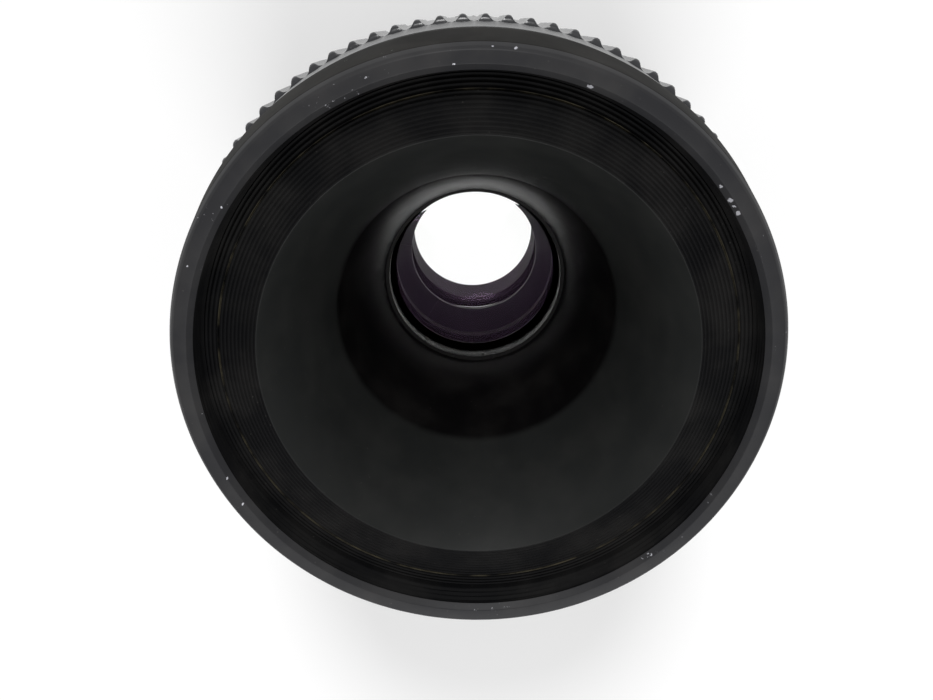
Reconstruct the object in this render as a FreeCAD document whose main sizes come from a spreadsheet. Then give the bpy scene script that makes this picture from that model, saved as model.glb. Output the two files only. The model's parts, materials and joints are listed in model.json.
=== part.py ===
import FreeCAD
import Part
import math
import os
import Sketcher

# Macro lens with a deep recessed front glass, standing on the rear face of its screw mount.
# Millimetres and degrees. +Z is the optical axis, front up; the origin is the centre of the foot.
# Every piece is drawn with the lens focused at infinity and the iris fully open.

doc = FreeCAD.newDocument("macro_lens")
sheet = doc.addObject("Spreadsheet::Sheet", "sizes")


class Size(float):
    """A number that also carries the formula it comes from."""

    def __new__(cls, value, formula):
        size = float.__new__(cls, value)
        size.formula = formula
        return size

    def __add__(self, other):
        return Size(float(self) + float(other), "(%s + %s)" % (self.formula, formula_of(other)))

    def __sub__(self, other):
        return Size(float(self) - float(other), "(%s - %s)" % (self.formula, formula_of(other)))

    def __mul__(self, other):
        return Size(float(self) * float(other), "(%s * %s)" % (self.formula, formula_of(other)))

    def __truediv__(self, other):
        return Size(float(self) / float(other), "(%s / %s)" % (self.formula, formula_of(other)))

    def __neg__(self):
        return self * -1.0


def formula_of(number):
    if isinstance(number, Size):
        return number.formula
    return "%.9f" % number


def size(alias, value):
    """Puts one driving dimension in the sheet and returns it with its formula."""
    size.row += 1
    cell = "A%d" % size.row
    sheet.set(cell, str(value))
    sheet.setAlias(cell, alias)
    return Size(value, "sizes." + alias)


size.row = 0

# Clearances
running_gap = size("running_gap", 0.05)
seat_gap = size("seat_gap", 0.02)
ring_gap = size("ring_gap", 0.2)
dial_gap = size("dial_gap", 0.3)

# Front barrel, rim and filter thread; the filter thread sets the radii of the whole lens
filter_radius = size("filter_radius", 27.5)
filter_depth = size("filter_depth", 3.1)
filter_lead_in = size("filter_lead_in", 0.2)
relief_gap = size("relief_gap", 0.12)
relief_depth = size("relief_depth", 0.3)
mouth_step = size("mouth_step", 0.5)
rim_land = size("rim_land", 1.5)
rim_round = size("rim_round", 0.3)
band_swell = size("band_swell", 1.24)
band_length = size("band_length", 8.7)
band_straight = size("band_straight", 2.4)
band_bevel = size("band_bevel", 0.7)
band_pocket_depth = size("band_pocket_depth", 2.6)
band_skin = size("band_skin", 1.3)
retainer_step = size("retainer_step", 0.3)
retainer_depth = size("retainer_depth", 1.5)
retainer_width = size("retainer_width", 1.5)

# Sliding barrel and its keys
slide_ledge = size("slide_ledge", 0.7)
slide_wall = size("slide_wall", 2.0)
slide_floor_gap = size("slide_floor_gap", 3.0)
slide_travel = size("slide_travel", 27.5)
key_width = size("key_width", 5.0)
key_height = size("key_height", 1.3)
key_slot_depth = size("key_slot_depth", 1.2)
key_foot_reach = size("key_foot_reach", 3.6)
key_foot_thickness = size("key_foot_thickness", 1.6)
key_grip = size("key_grip", 12.5)
key_angles = [100.0, 280.0]

# Screw mount and mount base
mount_inset = size("mount_inset", 6.55)
mount_thread_length = size("mount_thread_length", 4.5)
mount_wall = size("mount_wall", 2.75)
mount_plate_step = size("mount_plate_step", 3.05)
mount_plate_thickness = size("mount_plate_thickness", 1.5)
mount_lead_in = size("mount_lead_in", 0.5)
base_thickness = size("base_thickness", 3.5)
base_edge_height = size("base_edge_height", 0.8)
base_foot_step = size("base_foot_step", 1.4)

# Aperture ring
aperture_wall = size("aperture_wall", 1.7)
aperture_ring_length = size("aperture_ring_length", 8.7)
aperture_grip_rise = size("aperture_grip_rise", 0.9)
aperture_grip_length = size("aperture_grip_length", 4.8)
aperture_grip_bevel = size("aperture_grip_bevel", 0.5)
aperture_rib_depth = size("aperture_rib_depth", 0.6)
aperture_ribs = 84
aperture_turn = size("aperture_turn", 50.0)

# Fixed barrel
fixed_lower_gap = size("fixed_lower_gap", 0.4)
fixed_wall = size("fixed_wall", 1.3)
fixed_step = size("fixed_step", 1.4)
fixed_band_swell = size("fixed_band_swell", 0.7)
fixed_band_length = size("fixed_band_length", 9.5)
fixed_foot_thickness = size("fixed_foot_thickness", 1.4)
sleeve_seat_height = size("sleeve_seat_height", 5.0)

# Focusing ring and its threaded sleeve
focus_wall = size("focus_wall", 1.45)
focus_scale_length = size("focus_scale_length", 11.0)
focus_grip_length = size("focus_grip_length", 16.6)
focus_rib_rise = size("focus_rib_rise", 0.8)
focus_rib_depth = size("focus_rib_depth", 0.75)
focus_ribs = 87
focus_front_step = size("focus_front_step", 0.25)
focus_front_chamfer = size("focus_front_chamfer", 2.6)
focus_lip_depth = size("focus_lip_depth", 5.7)
focus_flange_height = size("focus_flange_height", 3.7)
focus_turn = size("focus_turn", 300.0)
sleeve_wall = size("sleeve_wall", 1.6)
stop_groove_depth = size("stop_groove_depth", 0.7)
stop_groove_height = size("stop_groove_height", 3.0)
stop_pin_radius = size("stop_pin_radius", 0.7)
stop_margin = 4.0
stop_angle = 90.0
grub_angles = [20.0, 140.0, 260.0]

# Funnel
funnel_edge_drop = size("funnel_edge_drop", 1.56)
groove_land = size("groove_land", 3.96)
funnel_waist_radius = size("funnel_waist_radius", 15.65)
funnel_waist_drop = size("funnel_waist_drop", 16.5)
funnel_waist_step = size("funnel_waist_step", 0.3)
funnel_throat_step = size("funnel_throat_step", 0.51)
funnel_throat_rise = size("funnel_throat_rise", 0.7)
funnel_throat_lip = size("funnel_throat_lip", 0.5)
funnel_wall = size("funnel_wall", 1.2)
funnel_collar_wall = size("funnel_collar_wall", 2.0)
funnel_collar_length = size("funnel_collar_length", 5.3)

# Front cell and its glass
bezel_bore = size("bezel_bore", 10.89)
bezel_wall = size("bezel_wall", 0.76)
bezel_drop = size("bezel_drop", 30.6)
bezel_seat_depth = size("bezel_seat_depth", 2.8)
front_cell_wall = size("front_cell_wall", 2.33)
front_cell_seat_step = size("front_cell_seat_step", 2.07)
front_cell_seat_thickness = size("front_cell_seat_thickness", 1.4)
front_glass_curve = size("front_glass_curve", 28.0)
front_glass_edge = size("front_glass_edge", 1.3)
spacer_length = size("spacer_length", 1.1)
spacer_wall = size("spacer_wall", 1.6)
second_glass_edge = size("second_glass_edge", 3.9)
second_front_curve = size("second_front_curve", 72.0)
second_front_clear = size("second_front_clear", 10.3)
second_rear_curve = size("second_rear_curve", 27.0)
second_rear_clear = size("second_rear_clear", 9.0)

# Rear cell with the iris housing, and its glass
cell_gap = size("cell_gap", 1.2)
cell_wall = size("cell_wall", 1.4)
iris_depth = size("iris_depth", 4.1)
iris_floor = size("iris_floor", 1.0)
rear_cell_length = size("rear_cell_length", 10.4)
rear_cell_wall = size("rear_cell_wall", 3.25)
rear_cell_taper = size("rear_cell_taper", 1.5)
rear_seat_step = size("rear_seat_step", 0.5)
rear_seat_thickness = size("rear_seat_thickness", 0.5)
rear_glass_radius = size("rear_glass_radius", 9.5)
third_glass_middle = size("third_glass_middle", 0.8)
cement_curve = size("cement_curve", 20.0)
fourth_glass_edge = size("fourth_glass_edge", 1.2)
fourth_rear_curve = size("fourth_rear_curve", 30.0)
rear_ring_wall = size("rear_ring_wall", 0.7)
rear_ring_taper = size("rear_ring_taper", 0.6)

# Iris
blade_count = 6
blade_width = size("blade_width", 6.9)
blade_margin = size("blade_margin", 1.4)
pivot_margin = size("pivot_margin", 1.0)
blade_thickness = size("blade_thickness", 0.1)
blade_pitch = size("blade_pitch", 0.15)
blade_floor_gap = size("blade_floor_gap", 0.1)
blade_ear = size("blade_ear", 0.85)
blade_start = -4.0
blade_end = 118.0
blade_end_slant = 8.0
blade_pin_angle = 18.0
blade_turn = 24.7
lever_window_margin = 6.0
pivot_pin_radius = size("pivot_pin_radius", 0.5)
pivot_pin_depth = size("pivot_pin_depth", 0.55)
drive_pin_radius = size("drive_pin_radius", 0.45)
cam_gap = size("cam_gap", 0.1)
iris_ring_width = size("iris_ring_width", 4.75)
iris_ring_thickness = size("iris_ring_thickness", 1.5)
iris_ring_rise = size("iris_ring_rise", 1.4)
lever_radius = size("lever_radius", 0.75)
lever_root = size("lever_root", 0.9)
lever_overreach = size("lever_overreach", 0.3)
iris_start_angle = -25.0

# Aperture drive arm
arm_width = size("arm_width", 5.0)
arm_thickness = size("arm_thickness", 1.6)
arm_bar_gap = size("arm_bar_gap", 1.2)
arm_bar_thickness = size("arm_bar_thickness", 1.8)
arm_rise = size("arm_rise", 0.6)
arm_overlap = size("arm_overlap", 3.85)
arm_fork_margin = size("arm_fork_margin", 1.4)
arm_seat_depth = size("arm_seat_depth", 0.6)
arm_window_spread = 68.0

# Click stop
click_ball_radius = size("click_ball_radius", 0.6)
click_spring_wire = size("click_spring_wire", 0.12)
click_spring_length = size("click_spring_length", 2.0)
click_spring_turns = 4.0
click_angle = 200.0
click_stops = 7

click_track_width = size("click_track_width", 1.32)
click_track_depth = size("click_track_depth", 0.45)
click_dimple = size("click_dimple", 0.15)

# Screws
screw_shank = size("screw_shank", 0.6)
screw_head = size("screw_head", 1.1)
screw_head_height = size("screw_head_height", 0.8)
screw_slot_width = size("screw_slot_width", 0.35)
grub_radius = size("grub_radius", 0.75)
mount_screw_step = size("mount_screw_step", 1.45)
mount_screw_length = size("mount_screw_length", 2.8)
barrel_screw_length = size("barrel_screw_length", 3.6)
key_screw_inset = size("key_screw_inset", 1.7)
key_screw_length = size("key_screw_length", 2.9)
mount_screw_angles = [30.0, 150.0, 270.0]
barrel_screw_angles = [45.0, 135.0, 225.0, 315.0]

doc.recompute()

# Radii, from the filter thread outwards and inwards
mouth_radius = filter_radius + mouth_step
rim_radius = mouth_radius + rim_land
band_radius = rim_radius + band_swell
retainer_radius = filter_radius - retainer_step
slide_radius = retainer_radius - slide_ledge
slide_bore = slide_radius - slide_wall
sleeve_radius = slide_radius + running_gap + sleeve_wall
fixed_upper_bore = sleeve_radius + running_gap
fixed_upper_radius = fixed_upper_bore + fixed_step
fixed_band_radius = fixed_upper_radius + fixed_band_swell
fixed_lower_bore = slide_radius + fixed_lower_gap
fixed_lower_radius = fixed_lower_bore + fixed_wall
aperture_bore = fixed_lower_radius + running_gap * 2
aperture_radius = aperture_bore + aperture_wall
aperture_grip_radius = aperture_radius + aperture_grip_rise
base_radius = aperture_radius
base_foot_radius = base_radius - base_foot_step
focus_bore = fixed_upper_radius + running_gap
focus_scale_radius = focus_bore + focus_wall
focus_tip_radius = focus_scale_radius + focus_rib_rise
focus_front_radius = focus_scale_radius - focus_front_step
mount_thread_radius = filter_radius - mount_inset
mount_bore = mount_thread_radius - mount_wall
mount_plate_radius = mount_thread_radius + mount_plate_step
mount_screw_circle = mount_thread_radius + mount_screw_step
key_outer_radius = slide_bore + key_slot_depth - running_gap * 2
key_inner_radius = slide_bore - key_height
key_foot_radius = key_inner_radius - key_foot_reach
key_screw_circle = key_foot_radius + key_screw_inset
fixed_foot_bore = key_outer_radius + ring_gap
barrel_screw_circle = (fixed_foot_bore + fixed_lower_radius) / 2
arm_bar_radius = key_inner_radius - arm_bar_gap - arm_bar_thickness
cell_radius = arm_bar_radius - cell_gap
iris_chamber_radius = cell_radius - cell_wall
iris_ring_radius = iris_chamber_radius - running_gap
iris_ring_bore = iris_ring_radius - iris_ring_width
blade_pivot_radius = iris_chamber_radius - pivot_margin
blade_outer_radius = blade_pivot_radius - blade_margin
blade_inner_radius = blade_outer_radius - blade_width
lever_reach = arm_bar_radius + arm_bar_thickness + lever_overreach
funnel_seam_radius = retainer_radius - retainer_width
funnel_edge_radius = funnel_seam_radius - groove_land
funnel_throat_radius = bezel_bore + funnel_throat_step
bezel_radius = bezel_bore + bezel_wall
front_glass_radius = bezel_radius - running_gap
front_cell_bore = bezel_radius + seat_gap
front_cell_radius = front_cell_bore + front_cell_wall
front_cell_seat_bore = front_cell_bore - front_cell_seat_step
rear_cell_bore = rear_glass_radius + running_gap
rear_cell_radius = rear_cell_bore + rear_cell_wall
rear_seat_bore = rear_glass_radius - rear_seat_step
rear_ring_bore = rear_glass_radius - rear_ring_wall
rear_ring_mouth = rear_ring_bore - rear_ring_taper
click_circle = aperture_bore + aperture_wall / 2

# Levels of the outer pieces, from the foot up
flange_level = mount_thread_length
plate_top = flange_level + mount_plate_thickness
base_top = flange_level + base_thickness
click_hole_radius = click_ball_radius + seat_gap
click_level = base_top - running_gap
aperture_floor = base_top + dial_gap
aperture_top = aperture_floor + aperture_ring_length
arm_floor = base_top + arm_rise
arm_top = arm_floor + arm_thickness
band_floor = aperture_top + dial_gap
band_top = band_floor + fixed_band_length
sleeve_floor = band_floor + sleeve_seat_height
focus_floor = band_top + ring_gap
focus_top = focus_floor + focus_scale_length + focus_grip_length
sleeve_top = focus_top - focus_lip_depth
focus_flange_floor = sleeve_top - focus_flange_height
fixed_top = focus_flange_floor - ring_gap
band_rear = focus_top + ring_gap
rim_height = band_rear + band_length
rim_top = rim_height + rim_round
filter_floor = rim_height - filter_depth
ledge_level = filter_floor - retainer_depth
slide_floor = base_top + slide_floor_gap
key_top = base_top + slide_travel + key_grip

# Levels of the funnel and the glass, from the rim down
funnel_edge_level = rim_height - funnel_edge_drop
seam_share = (funnel_seam_radius - funnel_edge_radius) / (retainer_radius - funnel_edge_radius)
seam_level = funnel_edge_level - (funnel_edge_level - filter_floor) * seam_share
waist_level = rim_height - funnel_waist_drop
bezel_top = rim_height - bezel_drop
throat_level = bezel_top + funnel_throat_rise
cell_top = throat_level - funnel_throat_lip
front_glass_top = cell_top - bezel_seat_depth
front_glass_floor = front_glass_top - front_glass_edge
spacer_floor = front_glass_floor - spacer_length
second_floor = spacer_floor - second_glass_edge
cell_joint_height = second_floor - front_cell_seat_thickness
iris_chamber_floor = cell_joint_height - iris_depth
iris_ring_floor = iris_chamber_floor + iris_ring_rise
iris_ring_top = iris_ring_floor + iris_ring_thickness
lever_level = iris_ring_floor + iris_ring_thickness / 2
arm_bar_top = lever_level + slide_travel + arm_overlap
arm_fork_floor = iris_ring_floor - arm_fork_margin
third_front = iris_chamber_floor - iris_floor - rear_seat_thickness
rear_cell_floor = third_front - rear_cell_length


def sag(curve, radius):
    """Depth of a spherical face of the given curve at a radius."""
    number = float(curve) - math.sqrt(float(curve) ** 2 - float(radius) ** 2)
    formula = "({0} - sqrt({0} * {0} - {1} * {1}))".format(curve.formula, radius.formula)
    return Size(number, formula)


def origin_plane(body, role):
    for feature in body.Origin.OriginFeatures:
        if feature.Role == role:
            return feature


def pin_down(sketch, geometry, end, radius, level):
    """Holds one end of a profile line at a radius and a level, by formula."""
    if float(radius) == 0.0:
        sketch.addConstraint(Sketcher.Constraint("PointOnObject", geometry, end, -2))
    else:
        index = sketch.addConstraint(Sketcher.Constraint("DistanceX", -1, 1, geometry, end, float(radius)))
        if isinstance(radius, Size):
            sketch.setExpression("Constraints[%d]" % index, radius.formula)
    if level is None:
        return
    if float(level) == 0.0:
        sketch.addConstraint(Sketcher.Constraint("PointOnObject", geometry, end, -1))
        return
    index = sketch.addConstraint(Sketcher.Constraint("DistanceY", -1, 1, geometry, end, float(level)))
    if isinstance(level, Size):
        sketch.setExpression("Constraints[%d]" % index, level.formula)


def turned(name, outline):
    """A turned piece: a closed half profile of (radius, level) corners, revolved about the axis."""
    body = doc.addObject("PartDesign::Body", name)
    sketch = body.newObject("Sketcher::SketchObject", name + "_profile")
    sketch.AttachmentSupport = (origin_plane(body, "XZ_Plane"), [""])
    sketch.MapMode = "FlatFace"
    count = len(outline)
    corners = [FreeCAD.Vector(float(radius), float(level), 0) for radius, level in outline]
    lines = [Part.LineSegment(corners[i], corners[(i + 1) % count]) for i in range(count)]
    sketch.addGeometry(lines, False)
    for i in range(count):
        sketch.addConstraint(Sketcher.Constraint("Coincident", i, 2, (i + 1) % count, 1))
    for i, (radius, level) in enumerate(outline):
        pin_down(sketch, i, 1, radius, level)
    turning = body.newObject("PartDesign::Revolution", name + "_turning")
    turning.Profile = sketch
    turning.ReferenceAxis = (sketch, ["V_Axis"])
    turning.Angle = 360.0
    sketch.Visibility = False
    return body


def place(obj, radius, angle, level, tilt=None):
    """Sets an object at a radius, an angle about the axis and a level, by formula."""
    turn = math.radians(angle)
    spin = FreeCAD.Rotation(FreeCAD.Vector(0, 0, 1), angle)
    if tilt == "outwards":
        spin = spin.multiply(FreeCAD.Rotation(FreeCAD.Vector(0, 1, 0), 90))
    if tilt == "inwards":
        spin = spin.multiply(FreeCAD.Rotation(FreeCAD.Vector(0, 1, 0), -90))
    across = radius * math.cos(turn)
    along = radius * math.sin(turn)
    obj.Placement = FreeCAD.Placement(FreeCAD.Vector(float(across), float(along), float(level)), spin)
    obj.setExpression("Placement.Base.x", formula_of(across))
    obj.setExpression("Placement.Base.y", formula_of(along))
    obj.setExpression("Placement.Base.z", formula_of(level))
    return obj


def rod(name, radius, length, circle, angle, level, tilt=None):
    obj = doc.addObject("Part::Cylinder", name)
    obj.setExpression("Radius", formula_of(radius))
    obj.setExpression("Height", formula_of(length))
    return place(obj, circle, angle, level, tilt)


def sector(name, radius, length, level, start, spread):
    """A slice of a disc, from a start angle over a spread."""
    obj = doc.addObject("Part::Cylinder", name)
    obj.setExpression("Radius", formula_of(radius))
    obj.setExpression("Height", formula_of(length))
    obj.Angle = spread
    return place(obj, Size(0.0, "0.0"), start, level)


def bar(name, near, far, width, floor, top, angle):
    """A straight bar lying along a radius, from a near to a far radius."""
    obj = doc.addObject("Part::Box", name)
    obj.setExpression("Length", formula_of(far - near))
    obj.setExpression("Width", formula_of(width))
    obj.setExpression("Height", formula_of(top - floor))
    turn = math.radians(angle)
    across = near * math.cos(turn) + width * (math.sin(turn) / 2)
    along = near * math.sin(turn) - width * (math.cos(turn) / 2)
    spin = FreeCAD.Rotation(FreeCAD.Vector(0, 0, 1), angle)
    obj.Placement = FreeCAD.Placement(FreeCAD.Vector(float(across), float(along), float(floor)), spin)
    obj.setExpression("Placement.Base.x", across.formula)
    obj.setExpression("Placement.Base.y", along.formula)
    obj.setExpression("Placement.Base.z", formula_of(floor))
    return obj


def joined(name, pieces):
    obj = doc.addObject("Part::MultiFuse", name)
    obj.Shapes = pieces
    obj.Refine = True
    return obj


def cut(name, base, tools):
    """A base with tools taken away from it."""
    tool = tools[0]
    if len(tools) > 1:
        tool = joined(name + "_tools", tools)
    obj = doc.addObject("Part::Cut", name)
    obj.Base = base
    obj.Tool = tool
    return obj


def shared(name, base, tool):
    obj = doc.addObject("Part::Common", name)
    obj.Base = base
    obj.Tool = tool
    return obj


def group(name, pieces):
    obj = doc.addObject("Part::Compound", name)
    obj.Links = pieces
    return obj


def polar(radius, angle, level=0.0):
    turn = math.radians(angle)
    return FreeCAD.Vector(float(radius) * math.cos(turn), float(radius) * math.sin(turn), float(level))


def ribbed_bar(name, tip, valley, ribs, height):
    """A long round bar with rounded ribs along it, each of five flats, from which a grip is cut."""
    pitch = 360.0 / ribs
    depth = float(tip) - float(valley)
    corners = []
    for i in range(ribs):
        for share, rise in ((-0.30, 0.0), (-0.22, 0.62), (-0.09, 1.0), (0.09, 1.0), (0.22, 0.62), (0.30, 0.0)):
            corners.append(polar(float(valley) + depth * rise, pitch * (i + share)))
    corners.append(corners[0])
    obj = doc.addObject("Part::Feature", name)
    obj.Shape = Part.Face(Part.makePolygon(corners)).extrude(FreeCAD.Vector(0, 0, float(height)))
    return obj


def slotted_screw(name, circle, angle, head_level, length, upwards):
    """A small cheese-head screw; upwards says that its shank points up, into the part above."""
    head_floor = head_level if upwards else head_level - screw_head_height
    shank_floor = head_level + screw_head_height if upwards else head_level - screw_head_height - length
    head = rod(name + "_head", screw_head, screw_head_height, circle, angle, head_floor)
    shank = rod(name + "_shank", screw_shank, length, circle, angle, shank_floor)
    slot_floor = head_level - screw_head_height * 0.45
    slot_top = head_level + screw_head_height * 0.45
    slot = bar(name + "_slot", circle - screw_head * 1.2, circle + screw_head * 1.2,
               screw_slot_width, slot_floor, slot_top, angle)
    return cut(name, joined(name + "_whole", [head, shank]), [slot])


# Mount ring and mount base
def mount_ring():
    turning = turned("mount_ring_turning", [
        (mount_bore, Size(0.0, "0.0")),
        (mount_thread_radius - mount_lead_in, Size(0.0, "0.0")),
        (mount_thread_radius, mount_lead_in),
        (mount_thread_radius, flange_level),
        (mount_plate_radius - seat_gap, flange_level),
        (mount_plate_radius - seat_gap, plate_top - seat_gap),
        (mount_bore, plate_top - seat_gap),
    ])
    holes = []
    for i, angle in enumerate(mount_screw_angles):
        holes.append(rod("mount_ring_head_hole%d" % i, screw_head + 0.1, screw_head_height + 0.15,
                         mount_screw_circle, angle, flange_level - 0.1))
        holes.append(rod("mount_ring_hole%d" % i, screw_shank + 0.05, mount_plate_thickness + 1.0,
                         mount_screw_circle, angle, flange_level))
    return cut("mount_ring", turning, holes)


def mount_base():
    turning = turned("mount_base_turning", [
        (mount_bore, plate_top),
        (mount_plate_radius, plate_top),
        (mount_plate_radius, flange_level),
        (base_foot_radius, flange_level),
        (base_radius, flange_level + base_edge_height),
        (base_radius, base_top),
        (mount_bore, base_top),
    ])
    holes = []
    for i, angle in enumerate(mount_screw_angles):
        holes.append(rod("base_mount_hole%d" % i, screw_shank + 0.02, mount_screw_length,
                         mount_screw_circle, angle, flange_level + screw_head_height + 0.1))
    for i, angle in enumerate(barrel_screw_angles):
        holes.append(rod("base_barrel_head%d" % i, screw_head + 0.05, screw_head_height + 0.1,
                         barrel_screw_circle, angle, flange_level - 0.05))
        holes.append(rod("base_barrel_hole%d" % i, screw_shank + 0.02, base_thickness + 0.5,
                         barrel_screw_circle, angle, flange_level))
    for i, angle in enumerate(key_angles):
        holes.append(rod("base_key_hole%d" % i, screw_shank + 0.02, key_screw_length,
                         key_screw_circle, angle, base_top - key_screw_length + key_foot_thickness))
    holes.append(rod("base_click_hole", click_hole_radius, click_spring_length + click_ball_radius + 0.2,
                     click_circle, click_angle, base_top - click_spring_length - click_ball_radius - 0.1))
    return cut("mount_base", turning, holes)


def mount_screws():
    pieces = [slotted_screw("mount_screw%d" % i, mount_screw_circle, angle, flange_level + 0.03,
                            mount_screw_length - screw_head_height, True)
              for i, angle in enumerate(mount_screw_angles)]
    return group("mount_screws", pieces)


def barrel_screws():
    pieces = [slotted_screw("barrel_screw%d" % i, barrel_screw_circle, angle, flange_level + 0.03,
                            barrel_screw_length, True)
              for i, angle in enumerate(barrel_screw_angles)]
    return group("barrel_screws", pieces)


def key_screws():
    pieces = [slotted_screw("key_screw%d" % i, key_screw_circle, angle,
                            base_top + key_foot_thickness + screw_head_height, key_screw_length, False)
              for i, angle in enumerate(key_angles)]
    return group("key_screws", pieces)


# Fixed barrel, keys and stop pin
def fixed_barrel():
    turning = turned("fixed_barrel_turning", [
        (fixed_foot_bore, base_top),
        (fixed_lower_radius, base_top),
        (fixed_lower_radius, band_floor),
        (fixed_band_radius, band_floor),
        (fixed_band_radius, band_top),
        (fixed_upper_radius, band_top),
        (fixed_upper_radius, fixed_top),
        (fixed_upper_bore, fixed_top),
        (fixed_upper_bore, sleeve_floor - ring_gap),
        (fixed_lower_bore, sleeve_floor - ring_gap),
        (fixed_lower_bore, base_top + fixed_foot_thickness),
        (fixed_foot_bore, base_top + fixed_foot_thickness),
    ])
    middle = iris_start_angle + float(aperture_turn) / 2
    window = sector("arm_window", fixed_lower_radius + 1.0, arm_top + 0.4 - base_top + 0.5,
                    base_top - 0.5, middle - arm_window_spread / 2, arm_window_spread)
    tools = [window]
    for i, angle in enumerate(barrel_screw_angles):
        tools.append(rod("barrel_thread%d" % i, screw_shank + 0.02, fixed_foot_thickness + 1.2,
                         barrel_screw_circle, angle, base_top - 0.5))
    tools.append(rod("stop_pin_hole", stop_pin_radius + 0.02, fixed_step + 1.0, fixed_upper_bore - 0.5,
                     stop_angle, focus_floor + stop_groove_height, "outwards"))
    return cut("fixed_barrel", turning, tools)


def focus_key(name, angle):
    blade = bar(name + "_blade", key_inner_radius, key_outer_radius,
                key_width, base_top, key_top, angle)
    foot = bar(name + "_foot", key_foot_radius, key_outer_radius,
               key_width, base_top, base_top + key_foot_thickness, angle)
    hole = rod(name + "_hole", screw_shank + 0.05, key_foot_thickness + 1.0, key_screw_circle, angle,
               base_top - 0.5)
    return cut(name, joined(name + "_whole", [blade, foot]), [hole])


def focus_stop_pin():
    return rod("focus_stop_pin", stop_pin_radius, fixed_step + stop_groove_depth - 0.05,
               fixed_upper_bore + 0.05, stop_angle, focus_floor + stop_groove_height, "outwards")


# Focusing ring, its sleeve and grub screws
grub_level = focus_flange_floor + focus_flange_height * 0.5


def focus_ring():
    turning = turned("focus_ring_turning", [
        (focus_bore, focus_floor),
        (focus_scale_radius, focus_floor),
        (focus_scale_radius, focus_floor + focus_scale_length),
        (focus_tip_radius + seat_gap, focus_floor + focus_scale_length + focus_rib_rise),
        (focus_tip_radius + seat_gap, focus_top - focus_front_chamfer),
        (focus_front_radius, focus_top),
        (slide_radius + ring_gap, focus_top),
        (slide_radius + ring_gap, sleeve_top + 0.1),
        (sleeve_radius + seat_gap, sleeve_top + 0.1),
        (sleeve_radius + seat_gap, focus_flange_floor),
        (focus_bore, focus_flange_floor),
    ])
    grip = ribbed_bar("focus_grip_bar", focus_tip_radius, focus_tip_radius - focus_rib_depth, focus_ribs, rim_top)
    blank = shared("focus_ring_blank", turning, grip)
    groove_outer = focus_bore + stop_groove_depth
    groove_level = focus_floor + stop_groove_height
    groove_disc = sector("stop_groove_disc", groove_outer, stop_pin_radius * 2.2,
                         groove_level - stop_pin_radius * 1.1,
                         stop_angle - stop_margin - float(focus_turn),
                         float(focus_turn) + stop_margin * 2)
    groove_core = rod("stop_groove_core", focus_bore - 0.5, stop_pin_radius * 3, Size(0.0, "0.0"), 0.0,
                      groove_level - stop_pin_radius * 1.5)
    tools = [cut("stop_groove", groove_disc, [groove_core])]
    for i, angle in enumerate(grub_angles):
        tools.append(rod("grub_hole%d" % i, grub_radius + 0.02, focus_tip_radius - sleeve_radius + 1.5,
                         sleeve_radius - 0.5, angle, grub_level, "outwards"))
    return cut("focus_ring", blank, tools)


def focus_sleeve():
    turning = turned("focus_sleeve_turning", [
        (slide_radius + running_gap, sleeve_floor),
        (sleeve_radius, sleeve_floor),
        (sleeve_radius, sleeve_top),
        (slide_radius + running_gap, sleeve_top),
    ])
    holes = [rod("sleeve_hole%d" % i, grub_radius + 0.02, Size(2.0, "2.0"), sleeve_radius - 0.8, angle,
                 grub_level, "outwards") for i, angle in enumerate(grub_angles)]
    return cut("focus_sleeve", turning, holes)


def focus_grub_screws():
    pieces = []
    for i, angle in enumerate(grub_angles):
        shank = rod("grub%d_shank" % i, grub_radius, focus_front_radius - sleeve_radius + 0.4,
                    sleeve_radius - 0.75, angle, grub_level, "outwards")
        slot = bar("grub%d_slot" % i, focus_front_radius - 0.7, focus_front_radius + 0.5, screw_slot_width,
                   grub_level - 1.0, grub_level + 1.0, angle)
        pieces.append(cut("grub%d" % i, shank, [slot]))
    return group("focus_grub_screws", pieces)


# Sliding barrel, front barrel and funnel
def slide_barrel():
    turning = turned("slide_barrel_turning", [
        (slide_bore, slide_floor),
        (slide_radius, slide_floor),
        (slide_radius, ledge_level),
        (slide_bore, ledge_level),
    ])
    slots = [bar("key_slot%d" % i, slide_bore - 1.0, slide_bore + key_slot_depth, key_width + 0.1,
                 slide_floor - 1.0, key_top + 0.5, angle)
             for i, angle in enumerate(key_angles)]
    return cut("slide_barrel", turning, slots)


def front_barrel():
    return turned("front_barrel", [
        (slide_radius + seat_gap, band_rear + band_pocket_depth),
        (band_radius - band_skin, band_rear + band_pocket_depth),
        (band_radius - band_skin, band_rear),
        (band_radius, band_rear),
        (band_radius, band_rear + band_straight),
        (rim_radius + band_bevel / 2, rim_height - band_bevel),
        (rim_radius, rim_height),
        (rim_radius - rim_round, rim_top),
        (mouth_radius, rim_top),
        (filter_radius, rim_height - filter_lead_in),
        (filter_radius, funnel_edge_level + relief_gap),
        (filter_radius + relief_depth, funnel_edge_level + relief_gap),
        (filter_radius + relief_depth, filter_floor),
        (retainer_radius, filter_floor),
        (retainer_radius, ledge_level),
        (slide_radius + seat_gap, ledge_level),
    ])


def grooved_retaining_ring():
    return turned("grooved_retaining_ring", [
        (funnel_seam_radius, ledge_level),
        (retainer_radius - seat_gap, ledge_level),
        (retainer_radius - seat_gap, filter_floor),
        (funnel_seam_radius, seam_level),
    ])


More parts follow.
